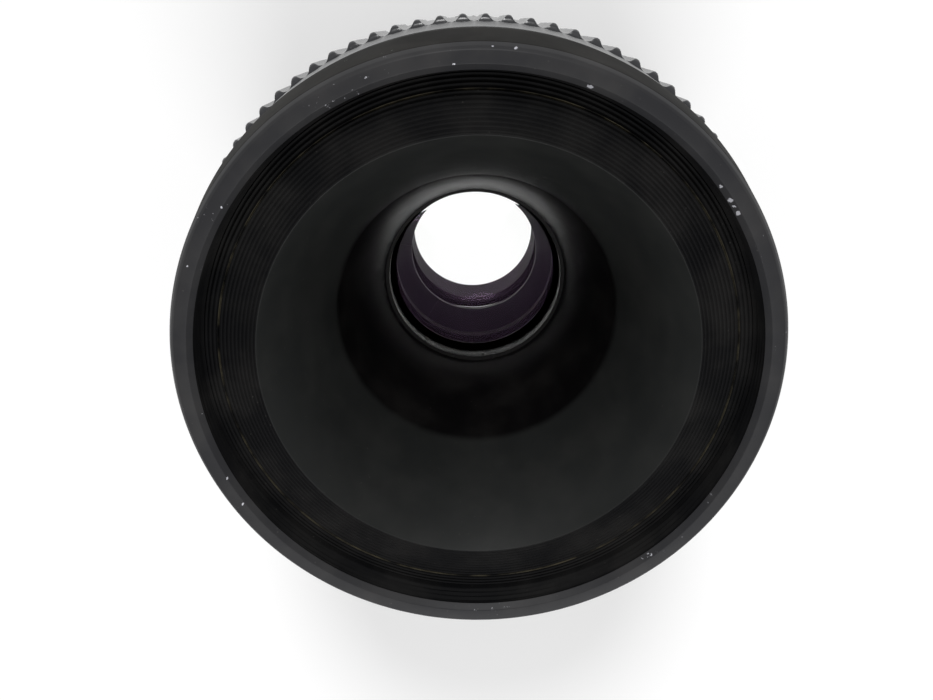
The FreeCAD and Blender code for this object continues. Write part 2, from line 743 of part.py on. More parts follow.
def front_funnel():
    slope = (funnel_edge_radius - funnel_waist_radius) / (funnel_edge_level - waist_level)
    shoulder = funnel_edge_radius - (funnel_edge_level - ledge_level) * float(slope) + funnel_wall
    collar_bore = front_cell_radius + seat_gap
    return turned("front_funnel", [
        (funnel_edge_radius, funnel_edge_level),
        (funnel_waist_radius, waist_level),
        (funnel_waist_radius - funnel_waist_step, waist_level),
        (funnel_throat_radius, throat_level),
        (funnel_throat_radius, cell_top),
        (collar_bore, cell_top),
        (collar_bore, cell_top - funnel_collar_length),
        (collar_bore + funnel_collar_wall, cell_top - funnel_collar_length),
        (collar_bore + funnel_collar_wall, throat_level + 1.5),
        (funnel_waist_radius + funnel_wall, waist_level - 0.5),
        (shoulder, ledge_level),
        (funnel_seam_radius - seat_gap, ledge_level),
        (funnel_seam_radius - seat_gap, seam_level),
    ])


# Front cell and its glass
def glass(name, rear, front, edge_radius, rear_edge, front_edge):
    """A round glass. rear and front are each None for a flat face or (curve, clear radius, out):
    a spherical face that reaches out to the clear radius, bulging outwards or hollow."""
    body = doc.addObject("PartDesign::Body", name)
    sketch = body.newObject("Sketcher::SketchObject", name + "_profile")
    sketch.AttachmentSupport = (origin_plane(body, "XZ_Plane"), [""])
    sketch.MapMode = "FlatFace"
    geometry = []
    faces = []
    for face, edge, towards in ((rear, rear_edge, -1.0), (front, front_edge, 1.0)):
        if face is None:
            faces.append((Size(0.0, "0.0"), edge, None, None, towards))
            continue
        curve, clear, bulging = face
        side = towards if bulging else -towards
        apex = edge + sag(curve, clear) * side
        faces.append((apex, edge, curve, clear, side))

    def add(shape):
        sketch.addGeometry(shape, False)
        geometry.append(shape)
        return len(geometry) - 1

    def line(start, end):
        return add(Part.LineSegment(FreeCAD.Vector(float(start[0]), float(start[1]), 0),
                                    FreeCAD.Vector(float(end[0]), float(end[1]), 0)))

    ends = []
    for apex, edge, curve, clear, side in faces:
        if curve is None:
            index = line((0.0, edge), (edge_radius, edge))
            pin_down(sketch, index, 1, Size(0.0, "0.0"), edge)
            pin_down(sketch, index, 2, edge_radius, edge)
            ends.append(((index, 1), (index, 2)))
            continue
        centre_level = apex - curve * side
        centre = FreeCAD.Vector(0, float(centre_level), 0)
        low = math.atan2(float(edge) - float(centre_level), float(clear))
        pole = math.pi / 2 * side
        start, stop = (low, pole) if side > 0 else (pole, low)
        circle = Part.Circle(centre, FreeCAD.Vector(0, 0, 1), float(curve))
        index = add(Part.ArcOfCircle(circle, start, stop))
        inner, outer = ((index, 2), (index, 1)) if side > 0 else ((index, 1), (index, 2))
        sketch.addConstraint(Sketcher.Constraint("PointOnObject", index, 3, -2))
        sketch.addConstraint(Sketcher.Constraint("PointOnObject", inner[0], inner[1], -2))
        radius_index = sketch.addConstraint(Sketcher.Constraint("Radius", index, float(curve)))
        sketch.setExpression("Constraints[%d]" % radius_index, curve.formula)
        pin_down(sketch, outer[0], outer[1], clear, edge)
        if float(clear) < float(edge_radius):
            rim = line((clear, edge), (edge_radius, edge))
            sketch.addConstraint(Sketcher.Constraint("Coincident", outer[0], outer[1], rim, 1))
            pin_down(sketch, rim, 2, edge_radius, edge)
            outer = (rim, 2)
        ends.append((inner, outer))
    side_line = line((edge_radius, rear_edge), (edge_radius, front_edge))
    sketch.addConstraint(Sketcher.Constraint("Coincident", ends[0][1][0], ends[0][1][1], side_line, 1))
    sketch.addConstraint(Sketcher.Constraint("Coincident", ends[1][1][0], ends[1][1][1], side_line, 2))
    rear_apex = faces[0][0] if faces[0][2] is not None else faces[0][1]
    front_apex = faces[1][0] if faces[1][2] is not None else faces[1][1]
    axis_line = line((0.0, rear_apex), (0.0, front_apex))
    sketch.addConstraint(Sketcher.Constraint("Coincident", ends[0][0][0], ends[0][0][1], axis_line, 1))
    sketch.addConstraint(Sketcher.Constraint("Coincident", ends[1][0][0], ends[1][0][1], axis_line, 2))
    turning = body.newObject("PartDesign::Revolution", name + "_turning")
    turning.Profile = sketch
    turning.ReferenceAxis = (sketch, ["V_Axis"])
    turning.Angle = 360.0
    return body


def front_element():
    return glass("front_element", None, (front_glass_curve, front_glass_radius, True), front_glass_radius,
                 front_glass_floor, front_glass_floor + front_glass_edge)


def second_element():
    return glass("second_element", (second_rear_curve, second_rear_clear, False),
                 (second_front_curve, second_front_clear, False), front_glass_radius,
                 second_floor, spacer_floor)


def third_element():
    rear_edge = third_front - third_glass_middle - sag(cement_curve, rear_glass_radius)
    return glass("third_element", (cement_curve, rear_glass_radius, False), None, rear_glass_radius,
                 rear_edge, third_front)


def fourth_element():
    front_edge = third_front - third_glass_middle - sag(cement_curve, rear_glass_radius)
    return glass("fourth_element", (fourth_rear_curve, rear_glass_radius, True),
                 (cement_curve, rear_glass_radius, True), rear_glass_radius,
                 front_edge - fourth_glass_edge, front_edge)


def front_cell():
    return turned("front_cell", [
        (front_cell_seat_bore, cell_joint_height),
        (cell_radius, cell_joint_height),
        (cell_radius, second_floor),
        (front_cell_radius, second_floor),
        (front_cell_radius, cell_top),
        (front_cell_bore, cell_top),
        (front_cell_bore, second_floor),
        (front_cell_seat_bore, second_floor),
    ])


def glass_spacer():
    return turned("glass_spacer", [
        (front_glass_radius - spacer_wall, spacer_floor),
        (front_glass_radius, spacer_floor),
        (front_glass_radius, front_glass_floor),
        (front_glass_radius - spacer_wall, front_glass_floor),
    ])


def front_bezel():
    floor = front_glass_floor + front_glass_edge
    sphere_drop = sag(front_glass_curve, front_glass_radius) - sag(front_glass_curve, bezel_bore)
    return turned("front_bezel", [
        (bezel_bore, floor + sphere_drop + 0.02),
        (front_glass_radius, floor + 0.02),
        (bezel_radius, floor + 0.02),
        (bezel_radius, cell_top),
        (funnel_throat_radius - 0.02, cell_top),
        (funnel_throat_radius - 0.02, bezel_top),
        (bezel_bore, bezel_top),
    ])


# Rear cell with the iris housing
def rear_cell():
    floor_level = iris_chamber_floor - iris_floor
    turning = turned("rear_cell_turning", [
        (rear_cell_bore, rear_cell_floor),
        (rear_cell_radius, rear_cell_floor),
        (rear_cell_radius, floor_level - rear_cell_taper),
        (cell_radius, floor_level),
        (cell_radius, cell_joint_height),
        (iris_chamber_radius, cell_joint_height),
        (iris_chamber_radius, iris_chamber_floor),
        (rear_seat_bore, iris_chamber_floor),
        (rear_seat_bore, third_front),
        (rear_cell_bore, third_front),
    ])
    spread = float(aperture_turn) + lever_window_margin * 2
    window_disc = sector("lever_window_disc", cell_radius + 1.0, cell_joint_height - iris_ring_floor + 1.0,
                         iris_ring_floor - 0.3, iris_start_angle - lever_window_margin, spread)
    window_core = rod("lever_window_core", iris_chamber_radius - 0.5, iris_depth + 2.0, Size(0.0, "0.0"), 0.0,
                      iris_ring_floor - 0.5)
    tools = [cut("lever_window", window_disc, [window_core])]
    for i in range(blade_count):
        tools.append(rod("pivot_hole%d" % i, pivot_pin_radius + 0.04, pivot_pin_depth + 0.5, blade_pivot_radius,
                         360.0 / blade_count * i, iris_chamber_floor - pivot_pin_depth - 0.05))
    return cut("rear_cell", turning, tools)


def rear_retaining_ring():
    rear_edge = third_front - third_glass_middle - sag(cement_curve, rear_glass_radius) - fourth_glass_edge
    apex_drop = sag(fourth_rear_curve, rear_glass_radius) - sag(fourth_rear_curve, rear_ring_bore)
    return turned("rear_retaining_ring", [
        (rear_ring_mouth, rear_cell_floor),
        (rear_glass_radius, rear_cell_floor),
        (rear_glass_radius, rear_edge - 0.02),
        (rear_ring_bore, rear_edge - apex_drop - 0.02),
    ])


# Iris blades, drive ring and lever
def blade_outline(pivot, angle, level, thickness):
    """A crescent with two ears, one round its pivot and one round its drive pin."""
    middle = (blade_start + blade_end) / 2
    outer_end = blade_end - blade_end_slant
    inner = Part.Arc(polar(blade_inner_radius, blade_start), polar(blade_inner_radius, middle),
                     polar(blade_inner_radius, blade_end))
    outer = Part.Arc(polar(blade_outer_radius, outer_end), polar(blade_outer_radius, middle),
                     polar(blade_outer_radius, blade_start))
    edges = [inner.toShape(),
             Part.LineSegment(polar(blade_inner_radius, blade_end), polar(blade_outer_radius, outer_end)).toShape(),
             outer.toShape(),
             Part.LineSegment(polar(blade_outer_radius, blade_start),
                              polar(blade_inner_radius, blade_start)).toShape()]
    rise = FreeCAD.Vector(0, 0, float(thickness))
    crescent = Part.Face(Part.Wire(edges)).extrude(rise)
    ears = []
    for ear_angle in (0.0, blade_pin_angle):
        centre = polar(pivot, ear_angle)
        disc = Part.Face(Part.Wire(Part.Circle(centre, FreeCAD.Vector(0, 0, 1), float(blade_ear)).toShape()))
        ears.append(disc.extrude(rise))
    root = blade_outer_radius - blade_ear
    web = [polar(root, blade_start / 2), polar(pivot, 0.0), polar(pivot, blade_pin_angle),
           polar(root, blade_pin_angle - blade_start / 2)]
    ears.append(Part.Face(Part.makePolygon(web + [web[0]])).extrude(rise))
    shape = crescent.multiFuse(ears).removeSplitter()
    shape.rotate(FreeCAD.Vector(0, 0, 0), FreeCAD.Vector(0, 0, 1), angle)
    shape.translate(FreeCAD.Vector(0, 0, float(level)))
    return shape


def iris_blade(index):
    name = "iris_blade_%d" % (index + 1)
    angle = 360.0 / blade_count * index
    level = iris_chamber_floor + blade_floor_gap + blade_pitch * index
    leaf = doc.addObject("Part::Feature", name + "_leaf")
    leaf.Shape = blade_outline(blade_pivot_radius, angle, level, blade_thickness)
    pivot = rod(name + "_pivot", pivot_pin_radius, level + blade_thickness - iris_chamber_floor + pivot_pin_depth,
                blade_pivot_radius, angle, iris_chamber_floor - pivot_pin_depth)
    drive = rod(name + "_drive", drive_pin_radius, iris_ring_top - 0.1 - level, blade_pivot_radius,
                angle + blade_pin_angle, level)
    return joined(name, [leaf, pivot, drive])


def drive_pin_place(share):
    """Where the first blade's drive pin is, seen on the turning ring, at a share of the full turn."""
    swing = FreeCAD.Rotation(FreeCAD.Vector(0, 0, 1), blade_turn * share)
    pivot = polar(blade_pivot_radius, 0.0)
    pin = pivot + swing.multVec(polar(blade_pivot_radius, blade_pin_angle) - pivot)
    back = FreeCAD.Rotation(FreeCAD.Vector(0, 0, 1), -float(aperture_turn) * share)
    return back.multVec(pin)


def cam_slot(index):
    """The curved slot that leads one drive pin, a round-ended track of even width."""
    half = float(drive_pin_radius) + float(cam_gap)
    shares = [0.0, 0.25, 0.5, 0.75, 1.0]
    track = [drive_pin_place(share) for share in shares]
    left = []
    right = []
    for i, point in enumerate(track):
        before = track[max(i - 1, 0)]
        after = track[min(i + 1, len(track) - 1)]
        if 0 < i < len(track) - 1:
            along = after - before
        else:
            along = (drive_pin_place(shares[i] + 0.01) - drive_pin_place(shares[i] - 0.01))
        along.normalize()
        side = FreeCAD.Vector(-along.y, along.x, 0) * half
        left.append(point + side)
        right.append(point - side)
    first = (track[0] - track[1]).normalize() * half
    last = (track[-1] - track[-2]).normalize() * half
    edges = [Part.Arc(left[0], left[1], left[2]).toShape(), Part.Arc(left[2], left[3], left[4]).toShape(),
             Part.Arc(left[4], track[4] + last, right[4]).toShape(),
             Part.Arc(right[4], right[3], right[2]).toShape(), Part.Arc(right[2], right[1], right[0]).toShape(),
             Part.Arc(right[0], track[0] + first, left[0]).toShape()]
    shape = Part.Face(Part.Wire(edges)).extrude(FreeCAD.Vector(0, 0, float(iris_ring_thickness) + 1.0))
    shape.rotate(FreeCAD.Vector(0, 0, 0), FreeCAD.Vector(0, 0, 1), 360.0 / blade_count * index)
    shape.translate(FreeCAD.Vector(0, 0, float(iris_ring_floor) - 0.5))
    obj = doc.addObject("Part::Feature", "cam_slot%d" % index)
    obj.Shape = shape
    return obj


def iris_drive_ring():
    turning = turned("iris_drive_turning", [
        (iris_ring_bore, iris_ring_floor),
        (iris_ring_radius, iris_ring_floor),
        (iris_ring_radius, iris_ring_top),
        (iris_ring_bore, iris_ring_top),
    ])
    tools = [cam_slot(i) for i in range(blade_count)]
    tools.append(rod("lever_hole", lever_radius, lever_root + running_gap, iris_ring_radius - lever_root,
                     iris_start_angle, lever_level, "outwards"))
    return cut("iris_drive_ring", turning, tools)


def iris_lever():
    near = iris_ring_radius - lever_root
    return rod("iris_lever", lever_radius, lever_reach - near, near, iris_start_angle, lever_level, "outwards")


# Aperture ring, its arm and the click stop
def aperture_ring():
    turning = turned("aperture_ring_turning", [
        (aperture_bore, aperture_floor),
        (click_circle - click_track_width / 2, aperture_floor),
        (click_circle, aperture_floor + click_track_depth),
        (click_circle + click_track_width / 2, aperture_floor),
        (aperture_radius, aperture_floor),
        (aperture_radius, aperture_top - aperture_grip_length - aperture_rib_depth),
        (aperture_grip_radius + seat_gap, aperture_top - aperture_grip_length),
        (aperture_grip_radius + seat_gap, aperture_top - aperture_grip_bevel),
        (aperture_grip_radius - aperture_grip_bevel, aperture_top),
        (aperture_bore, aperture_top),
    ])
    grip = ribbed_bar("aperture_grip_bar", aperture_grip_radius, aperture_grip_radius - aperture_rib_depth, aperture_ribs, band_top)
    blank = shared("aperture_ring_blank", turning, grip)
    tools = [bar("arm_seat", aperture_bore - 1.0, aperture_bore + arm_seat_depth, arm_width + 0.04,
                 aperture_floor - 0.5, arm_top + 0.02, iris_start_angle)]
    tools.append(rod("arm_screw_hole", screw_shank + 0.02, base_radius - aperture_bore + 1.0, aperture_bore,
                     iris_start_angle, arm_floor + arm_thickness * 0.5, "outwards"))
    for i in range(click_stops):
        dimple = doc.addObject("Part::Sphere", "click_dimple%d" % i)
        dimple.setExpression("Radius", (click_ball_radius + click_dimple).formula)
        angle = click_angle - float(aperture_turn) * i / (click_stops - 1)
        tools.append(place(dimple, click_circle, angle, click_level))
    return cut("aperture_ring", blank, tools)


def aperture_arm():
    outer = aperture_bore + arm_seat_depth - 0.02
    floor_bar = bar("arm_floor_bar", arm_bar_radius, outer, arm_width, arm_floor, arm_top, iris_start_angle)
    upright = bar("arm_upright", arm_bar_radius, arm_bar_radius + arm_bar_thickness, arm_width, arm_floor,
                  arm_bar_top, iris_start_angle)
    fork = bar("arm_fork", arm_bar_radius - 1.0, arm_bar_radius + arm_bar_thickness + 1.0,
               lever_radius * 2 + 0.14, arm_fork_floor, arm_bar_top + 1.0, iris_start_angle)
    hole = rod("arm_hole", screw_shank + 0.02, Size(3.0, "3.0"), outer - 2.5, iris_start_angle,
               arm_floor + arm_thickness * 0.5, "outwards")
    return cut("aperture_arm", joined("arm_whole", [floor_bar, upright]), [fork, hole])


def arm_screw():
    middle = arm_floor + arm_thickness * 0.5
    shank = rod("arm_screw_shank", screw_shank, base_radius - aperture_bore + 1.6, aperture_bore - 1.7,
                iris_start_angle, middle, "outwards")
    slot = bar("arm_screw_slot", base_radius - 0.4, base_radius + 0.5, screw_slot_width, middle - 1.0,
               middle + 1.0, iris_start_angle)
    return cut("arm_screw", shank, [slot])


def click_ball():
    obj = doc.addObject("Part::Sphere", "click_ball")
    obj.setExpression("Radius", click_ball_radius.formula)
    return place(obj, click_circle, click_angle, click_level)


def click_spring():
    coil = doc.addObject("Part::Helix", "click_coil")
    coil_radius = click_ball_radius - click_spring_wire - 0.05
    coil_height = click_spring_length - click_spring_wire * 2 - 0.05
    coil.setExpression("Radius", coil_radius.formula)
    coil.setExpression("Height", coil_height.formula)
    coil.setExpression("Pitch", (coil_height / click_spring_turns).formula)
    floor = click_level - click_ball_radius - coil_height - click_spring_wire
    section = doc.addObject("Part::Circle", "click_wire_section")
    section.setExpression("Radius", click_spring_wire.formula)
    section.Placement = FreeCAD.Placement(FreeCAD.Vector(float(coil_radius), 0, 0),
                                          FreeCAD.Rotation(FreeCAD.Vector(1, 0, 0), 90))
    section.setExpression("Placement.Base.x", coil_radius.formula)
    sweep = doc.addObject("Part::Sweep", "click_spring")
    doc.recompute()
    sweep.Sections = [section]
    sweep.Spine = (coil, ["Edge1"])
    sweep.Solid = True
    sweep.Frenet = True
    return place(sweep, click_circle, click_angle, floor)


nodes = {
    "mount_ring": mount_ring(),
    "mount_base": mount_base(),
    "mount_screws": mount_screws(),
    "barrel_screws": barrel_screws(),
    "fixed_barrel": fixed_barrel(),
    "focus_key_left": focus_key("focus_key_left", key_angles[0]),
    "focus_key_right": focus_key("focus_key_right", key_angles[1]),
    "key_screws": key_screws(),
    "focus_stop_pin": focus_stop_pin(),
    "focus_ring": focus_ring(),
    "focus_sleeve": focus_sleeve(),
    "focus_grub_screws": focus_grub_screws(),
    "slide_barrel": slide_barrel(),
    "front_barrel": front_barrel(),
    "grooved_retaining_ring": grooved_retaining_ring(),
    "front_funnel": front_funnel(),
    "front_cell": front_cell(),
    "front_bezel": front_bezel(),
    "front_element": front_element(),
    "glass_spacer": glass_spacer(),
    "second_element": second_element(),
    "rear_cell": rear_cell(),
    "third_element": third_element(),
    "fourth_element": fourth_element(),
    "rear_retaining_ring": rear_retaining_ring(),
    "iris_drive_ring": iris_drive_ring(),
    "iris_lever": iris_lever(),
    "aperture_ring": aperture_ring(),
    "aperture_arm": aperture_arm(),
    "arm_screw": arm_screw(),
    "click_ball": click_ball(),
    "click_spring": click_spring(),
}
for number in range(blade_count):
    nodes["iris_blade_%d" % (number + 1)] = iris_blade(number)

doc.recompute()

# Every feature must have built, and every piece must be sound, before anything is written
for feature in doc.Objects:
    if "Invalid" in feature.State or "Error" in feature.State:
        raise RuntimeError("%s did not build: %s" % (feature.Name, feature.State))
for name, piece in nodes.items():
    piece.Label = name
    if piece.Shape.isNull() or not piece.Shape.isValid():
        raise RuntimeError("%s has no sound shape" % name)

os.makedirs("parts", exist_ok=True)
for name, piece in nodes.items():
    piece.Shape.exportStep("parts/%s.step" % name)
    print("%-24s solids %d volume %.2f mm3" % (name, len(piece.Shape.Solids), piece.Shape.Volume))
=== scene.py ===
import json
import math

import bmesh
import bpy
from mathutils import Matrix, Vector


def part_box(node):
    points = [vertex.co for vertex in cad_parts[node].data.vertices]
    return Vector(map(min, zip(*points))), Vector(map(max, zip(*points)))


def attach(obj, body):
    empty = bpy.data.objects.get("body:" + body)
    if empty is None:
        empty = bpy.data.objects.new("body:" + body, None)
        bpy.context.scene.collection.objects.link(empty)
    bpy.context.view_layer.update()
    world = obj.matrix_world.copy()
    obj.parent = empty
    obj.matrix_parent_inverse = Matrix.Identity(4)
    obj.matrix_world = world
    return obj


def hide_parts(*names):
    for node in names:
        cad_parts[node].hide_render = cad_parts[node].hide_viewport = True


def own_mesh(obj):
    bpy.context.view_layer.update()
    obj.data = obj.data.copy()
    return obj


# Looks of a macro lens that stands on the rear face of its screw mount, front up.
# Lengths in this file are in millimetres until a mesh is made; the scene itself is in metres.

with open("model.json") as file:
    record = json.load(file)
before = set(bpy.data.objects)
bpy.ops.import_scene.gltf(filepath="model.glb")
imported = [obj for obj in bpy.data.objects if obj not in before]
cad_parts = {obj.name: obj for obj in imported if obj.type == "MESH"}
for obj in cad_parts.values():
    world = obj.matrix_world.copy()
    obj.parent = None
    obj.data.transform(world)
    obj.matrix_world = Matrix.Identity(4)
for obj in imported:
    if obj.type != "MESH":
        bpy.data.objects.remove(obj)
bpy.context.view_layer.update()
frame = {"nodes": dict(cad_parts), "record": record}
MM = 0.001
WELD = 0.0004

# Levels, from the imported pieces


def floor_of(node):
    """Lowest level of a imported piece."""
    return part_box(node)[0].z / MM


def top_of(node):
    """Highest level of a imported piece."""
    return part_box(node)[1].z / MM


RIM_RISE = 0.3
RIM_TOP = top_of("front_barrel")
RIM_PLANE = RIM_TOP - RIM_RISE
BAND_REAR = floor_of("front_barrel")
FOCUS_FLOOR, FOCUS_TOP = floor_of("focus_ring"), top_of("focus_ring")
APERTURE_FLOOR, APERTURE_TOP = floor_of("aperture_ring"), top_of("aperture_ring")
FIXED_FLOOR, FIXED_TOP = floor_of("fixed_barrel"), top_of("fixed_barrel")
BASE_TOP = top_of("mount_base")
BEZEL_TOP = top_of("front_bezel")
ARM_LEVEL = (top_of("arm_screw") + floor_of("arm_screw")) / 2

# Outlines: lists of (radius, level)


def rounded(corners, radius=0.12, steps=3):
    """An outline with its corners eased by a small round."""
    out = []
    count = len(corners)
    for i in range(count):
        here = Vector(corners[i])
        before = Vector(corners[i - 1]) - here
        after = Vector(corners[(i + 1) % count]) - here
        ease = min(radius, before.length * 0.45, after.length * 0.45)
        start = here + before.normalized() * ease
        end = here + after.normalized() * ease
        for k in range(steps + 1):
            t = k / steps
            point = start * (1 - t) ** 2 + here * (2 * t * (1 - t)) + end * t * t
            out.append((point.x, point.y))
    return out


# One groove, as shares of its pitch and of its depth
GROOVE_SHAPE = ((0.0, 0.0), (0.10, 0.55), (0.26, 0.95), (0.45, 1.0), (0.64, 0.80), (0.80, 0.30))
GROOVE_PITCH, GROOVE_DEPTH = 0.44, 0.16


def grooved(start, end):
    """Points of fine rounded ring grooves along a straight line of an outline."""
    a, b = Vector(start), Vector(end)
    run = b - a
    number = max(1, round(run.length / GROOVE_PITCH))
    side = Vector((-run.y, run.x)).normalized() * GROOVE_DEPTH
    out = []
    for i in range(number):
        for share, down in GROOVE_SHAPE:
            point = a + run * ((i + share) / number) + side * down
            out.append((point.x, point.y))
    out.append((b.x, b.y))
    return out


def between(start, end, steps):
    """Evenly spaced points along a line of an outline, without its last point."""
    a, b = Vector(start), Vector(end)
    return [tuple(a.lerp(b, i / steps)) for i in range(steps)]


def eased_end(start, end, steps):
    """Points of a quarter round from the crest of a rib down to its foot."""
    out = []
    for i in range(steps + 1):
        turn = math.pi / 2 * i / steps
        radius = end[0] + (start[0] - end[0]) * math.cos(turn)
        out.append((radius, start[1] + (end[1] - start[1]) * math.sin(turn)))
    return out


def sag(curve, radius):
    """How far a sphere falls from its middle out to a radius."""
    return curve - math.sqrt(curve * curve - radius * radius)


def sphere_face(curve, clear, edge, side, steps=28):
    """Points of a spherical face from the axis out to its clear radius. side is +1 where it bulges
    up past its edge and -1 where it dips below it; edge is its level at the clear radius."""
    radii = [clear * i / steps for i in range(steps + 1)]
    return [(radius, edge + side * (sag(curve, clear) - sag(curve, radius))) for radius in radii]


def tooth(z, angle, pitch):
    """Share of the height of a right-handed screw thread at a level and an angle, from 0 to 1."""
    phase = (z / pitch - angle / (2 * math.pi)) % 1.0
    return 1.0 - abs(2.0 * phase - 1.0)


# Meshes


def mesh_of(name, work):
    """The mesh that a bmesh holds; the bmesh is freed."""
    mesh = bpy.data.meshes.new(name)
    work.to_mesh(mesh)
    work.free()
    return mesh


def placed(name, data):
    """A new object in the scene."""
    thing = bpy.data.objects.new(name, data)
    bpy.context.scene.collection.objects.link(thing)
    return thing


def finished(name, mesh, body, material, replaced=(), smooth=40):
    """Turns a mesh into a shown piece: shaded smooth between sharp edges, riding on its body."""
    mesh.materials.clear()
    mesh.materials.append(material)
    mesh.polygons.foreach_set("use_smooth", [True] * len(mesh.polygons))
    mesh.set_sharp_from_angle(angle=math.radians(smooth))
    piece = placed(name, mesh)
    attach(piece, body)
    if replaced:
        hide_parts(*replaced)
    return piece


def second_finish(piece, material, chosen):
    """Gives the faces whose middle passes a test of (radius, level) another finish."""
    mesh = piece.data
    mesh.materials.append(material)
    index = len(mesh.materials) - 1
    for face in mesh.polygons:
        x, y, z = face.center / MM
        if chosen(math.hypot(x, y), z):
            face.material_index = index


def outward(mesh):
    """Merges doubles and points every face of a closed mesh outwards."""
    work = bmesh.new()
    work.from_mesh(mesh)
    bmesh.ops.remove_doubles(work, verts=work.verts, dist=WELD * MM)
    bmesh.ops.recalc_face_normals(work, faces=work.faces)
    work.to_mesh(mesh)
    work.free()
    mesh.update()
    return mesh


def joined_meshes(name, meshes):
    """One mesh from several."""
    work = bmesh.new()
    for mesh in meshes:
        work.from_mesh(mesh)
    return mesh_of(name, work)


def on_circle(radius, angle, z):
    """A point in metres at a radius and level in millimetres and an angle in radians."""
    return (radius * math.cos(angle) * MM, radius * math.sin(angle) * MM, z * MM)


def turned(name, outline, steps=256, start=0.0, spread=360.0):
    """A closed ring, or a slice of one: an outline of (radius, level) corners swept round the axis.
    A radius may be a function of the angle, for threads."""
    mesh = bpy.data.meshes.new(name)
    whole = spread >= 360.0
    rows = steps if whole else steps + 1
    points = []
    for i in range(rows):
        angle = math.radians(start + spread * i / steps)
        for radius, z in outline:
            points.append(on_circle(radius(angle) if callable(radius) else radius, angle, z))
    count = len(outline)
    faces = []
    for i in range(steps):
        here, there = i * count, ((i + 1) % rows) * count
        for j in range(count):
            k = (j + 1) % count
            faces.append((here + j, here + k, there + k, there + j))
    if not whole:
        faces.append(tuple(range(count)))
        faces.append(tuple(range((rows - 1) * count, rows * count)))
    mesh.from_pydata(points, [], faces)
    return outward(mesh)


def solid_of_outline(name, outline, steps):
    """A closed solid whose outline starts and ends on the axis."""
    mesh = bpy.data.meshes.new(name)
    inner = outline[1:-1]
    points = [(0, 0, outline[0][1] * MM), (0, 0, outline[-1][1] * MM)]
    for i in range(steps):
        points += [on_circle(radius, 2 * math.pi * i / steps, z) for radius, z in inner]
    count = len(inner)
    faces = []
    for i in range(steps):
        here, there = 2 + i * count, 2 + ((i + 1) % steps) * count
        faces.append((0, here, there))
        faces.append((1, there + count - 1, here + count - 1))
        for j in range(count - 1):
            faces.append((here + j, here + j + 1, there + j + 1, there + j))
    mesh.from_pydata(points, [], faces)
    return outward(mesh)


def evaluated(name, mesh, modify):
    """The plain mesh that modifiers make of a mesh; modify adds them and returns its helper objects."""
    holder = placed(name, mesh)
    extra = modify(holder)
    bpy.context.view_layer.update()
    graph = bpy.context.evaluated_depsgraph_get()
    result = bpy.data.meshes.new_from_object(holder.evaluated_get(graph))
    for used in [holder] + extra:
        bpy.data.objects.remove(used)
    return result


def drill(radius, length, place):
    """A round cutting tool, put in its place by a matrix."""
    work = bmesh.new()
    bmesh.ops.create_cone(work, cap_ends=True, segments=32, radius1=radius * MM, radius2=radius * MM,
                          depth=length * MM)
    bmesh.ops.transform(work, matrix=place, verts=work.verts)
    return mesh_of("drill", work)


def side_drill(radius, angle, z, near, far):
    """A drill that points at the axis and reaches from one radius to another."""
    turn = Matrix.Rotation(math.radians(angle), 4, "Z")
    out = Matrix.Translation(((far + near) / 2 * MM, 0, z * MM))
    return drill(radius, far - near, turn @ out @ Matrix.Rotation(math.radians(90), 4, "Y"))


def upright_drill(radius, angle, circle, floor, top):
    """A drill that stands upright on a circle round the axis."""
    place = on_circle(circle, math.radians(angle), (top + floor) / 2)
    return drill(radius, top - floor, Matrix.Translation(place))


def drilled(name, mesh, drills):
    """A mesh with its drills cut away."""
    tool = joined_meshes(name + "_drills", drills)

    def modify(holder):
        cutter = placed(name + "_cutter", tool)
        modifier = holder.modifiers.new("drill", "BOOLEAN")
        modifier.operation = "DIFFERENCE"
        modifier.solver = "EXACT"
        modifier.object = cutter
        return [cutter]

    return evaluated(name, mesh, modify)


def repeat_tree():
    """Geometry nodes that repeat a piece round the optical axis at an even step and join the copies."""
    tree = bpy.data.node_groups.new("repeat_round_axis", "GeometryNodeTree")
    face = tree.interface
    for name, kind in (("Geometry", "Geometry"), ("Count", "Int"), ("Step Angle", "Float"),
                       ("Weld Distance", "Float"), ("Finish", "Material")):
        face.new_socket(name=name, in_out="INPUT", socket_type="NodeSocket" + kind)
    face.new_socket(name="Geometry", in_out="OUTPUT", socket_type="NodeSocketGeometry")
    node = tree.nodes.new
    link = tree.links.new
    start, end = node("NodeGroupInput"), node("NodeGroupOutput")
    places = node("GeometryNodeMeshLine")
    places.inputs["Offset"].default_value = (0, 0, 0)
    link(start.outputs["Count"], places.inputs["Count"])
    turn = node("ShaderNodeMath")
    turn.operation = "MULTIPLY"
    link(node("GeometryNodeInputIndex").outputs[0], turn.inputs[0])
    link(start.outputs["Step Angle"], turn.inputs[1])
    about = node("ShaderNodeCombineXYZ")
    link(turn.outputs[0], about.inputs["Z"])
    copies = node("GeometryNodeInstanceOnPoints")
    link(places.outputs[0], copies.inputs["Points"])
    link(start.outputs["Geometry"], copies.inputs["Instance"])
    link(about.outputs[0], copies.inputs["Rotation"])
    real = node("GeometryNodeRealizeInstances")
    link(copies.outputs[0], real.inputs[0])
    weld = node("GeometryNodeMergeByDistance")
    link(real.outputs[0], weld.inputs["Geometry"])
    link(start.outputs["Weld Distance"], weld.inputs["Distance"])
    coat = node("GeometryNodeSetMaterial")
    link(weld.outputs[0], coat.inputs["Geometry"])
    link(start.outputs["Finish"], coat.inputs["Material"])
    link(coat.outputs[0], end.inputs["Geometry"])
    return tree


REPEAT = repeat_tree()


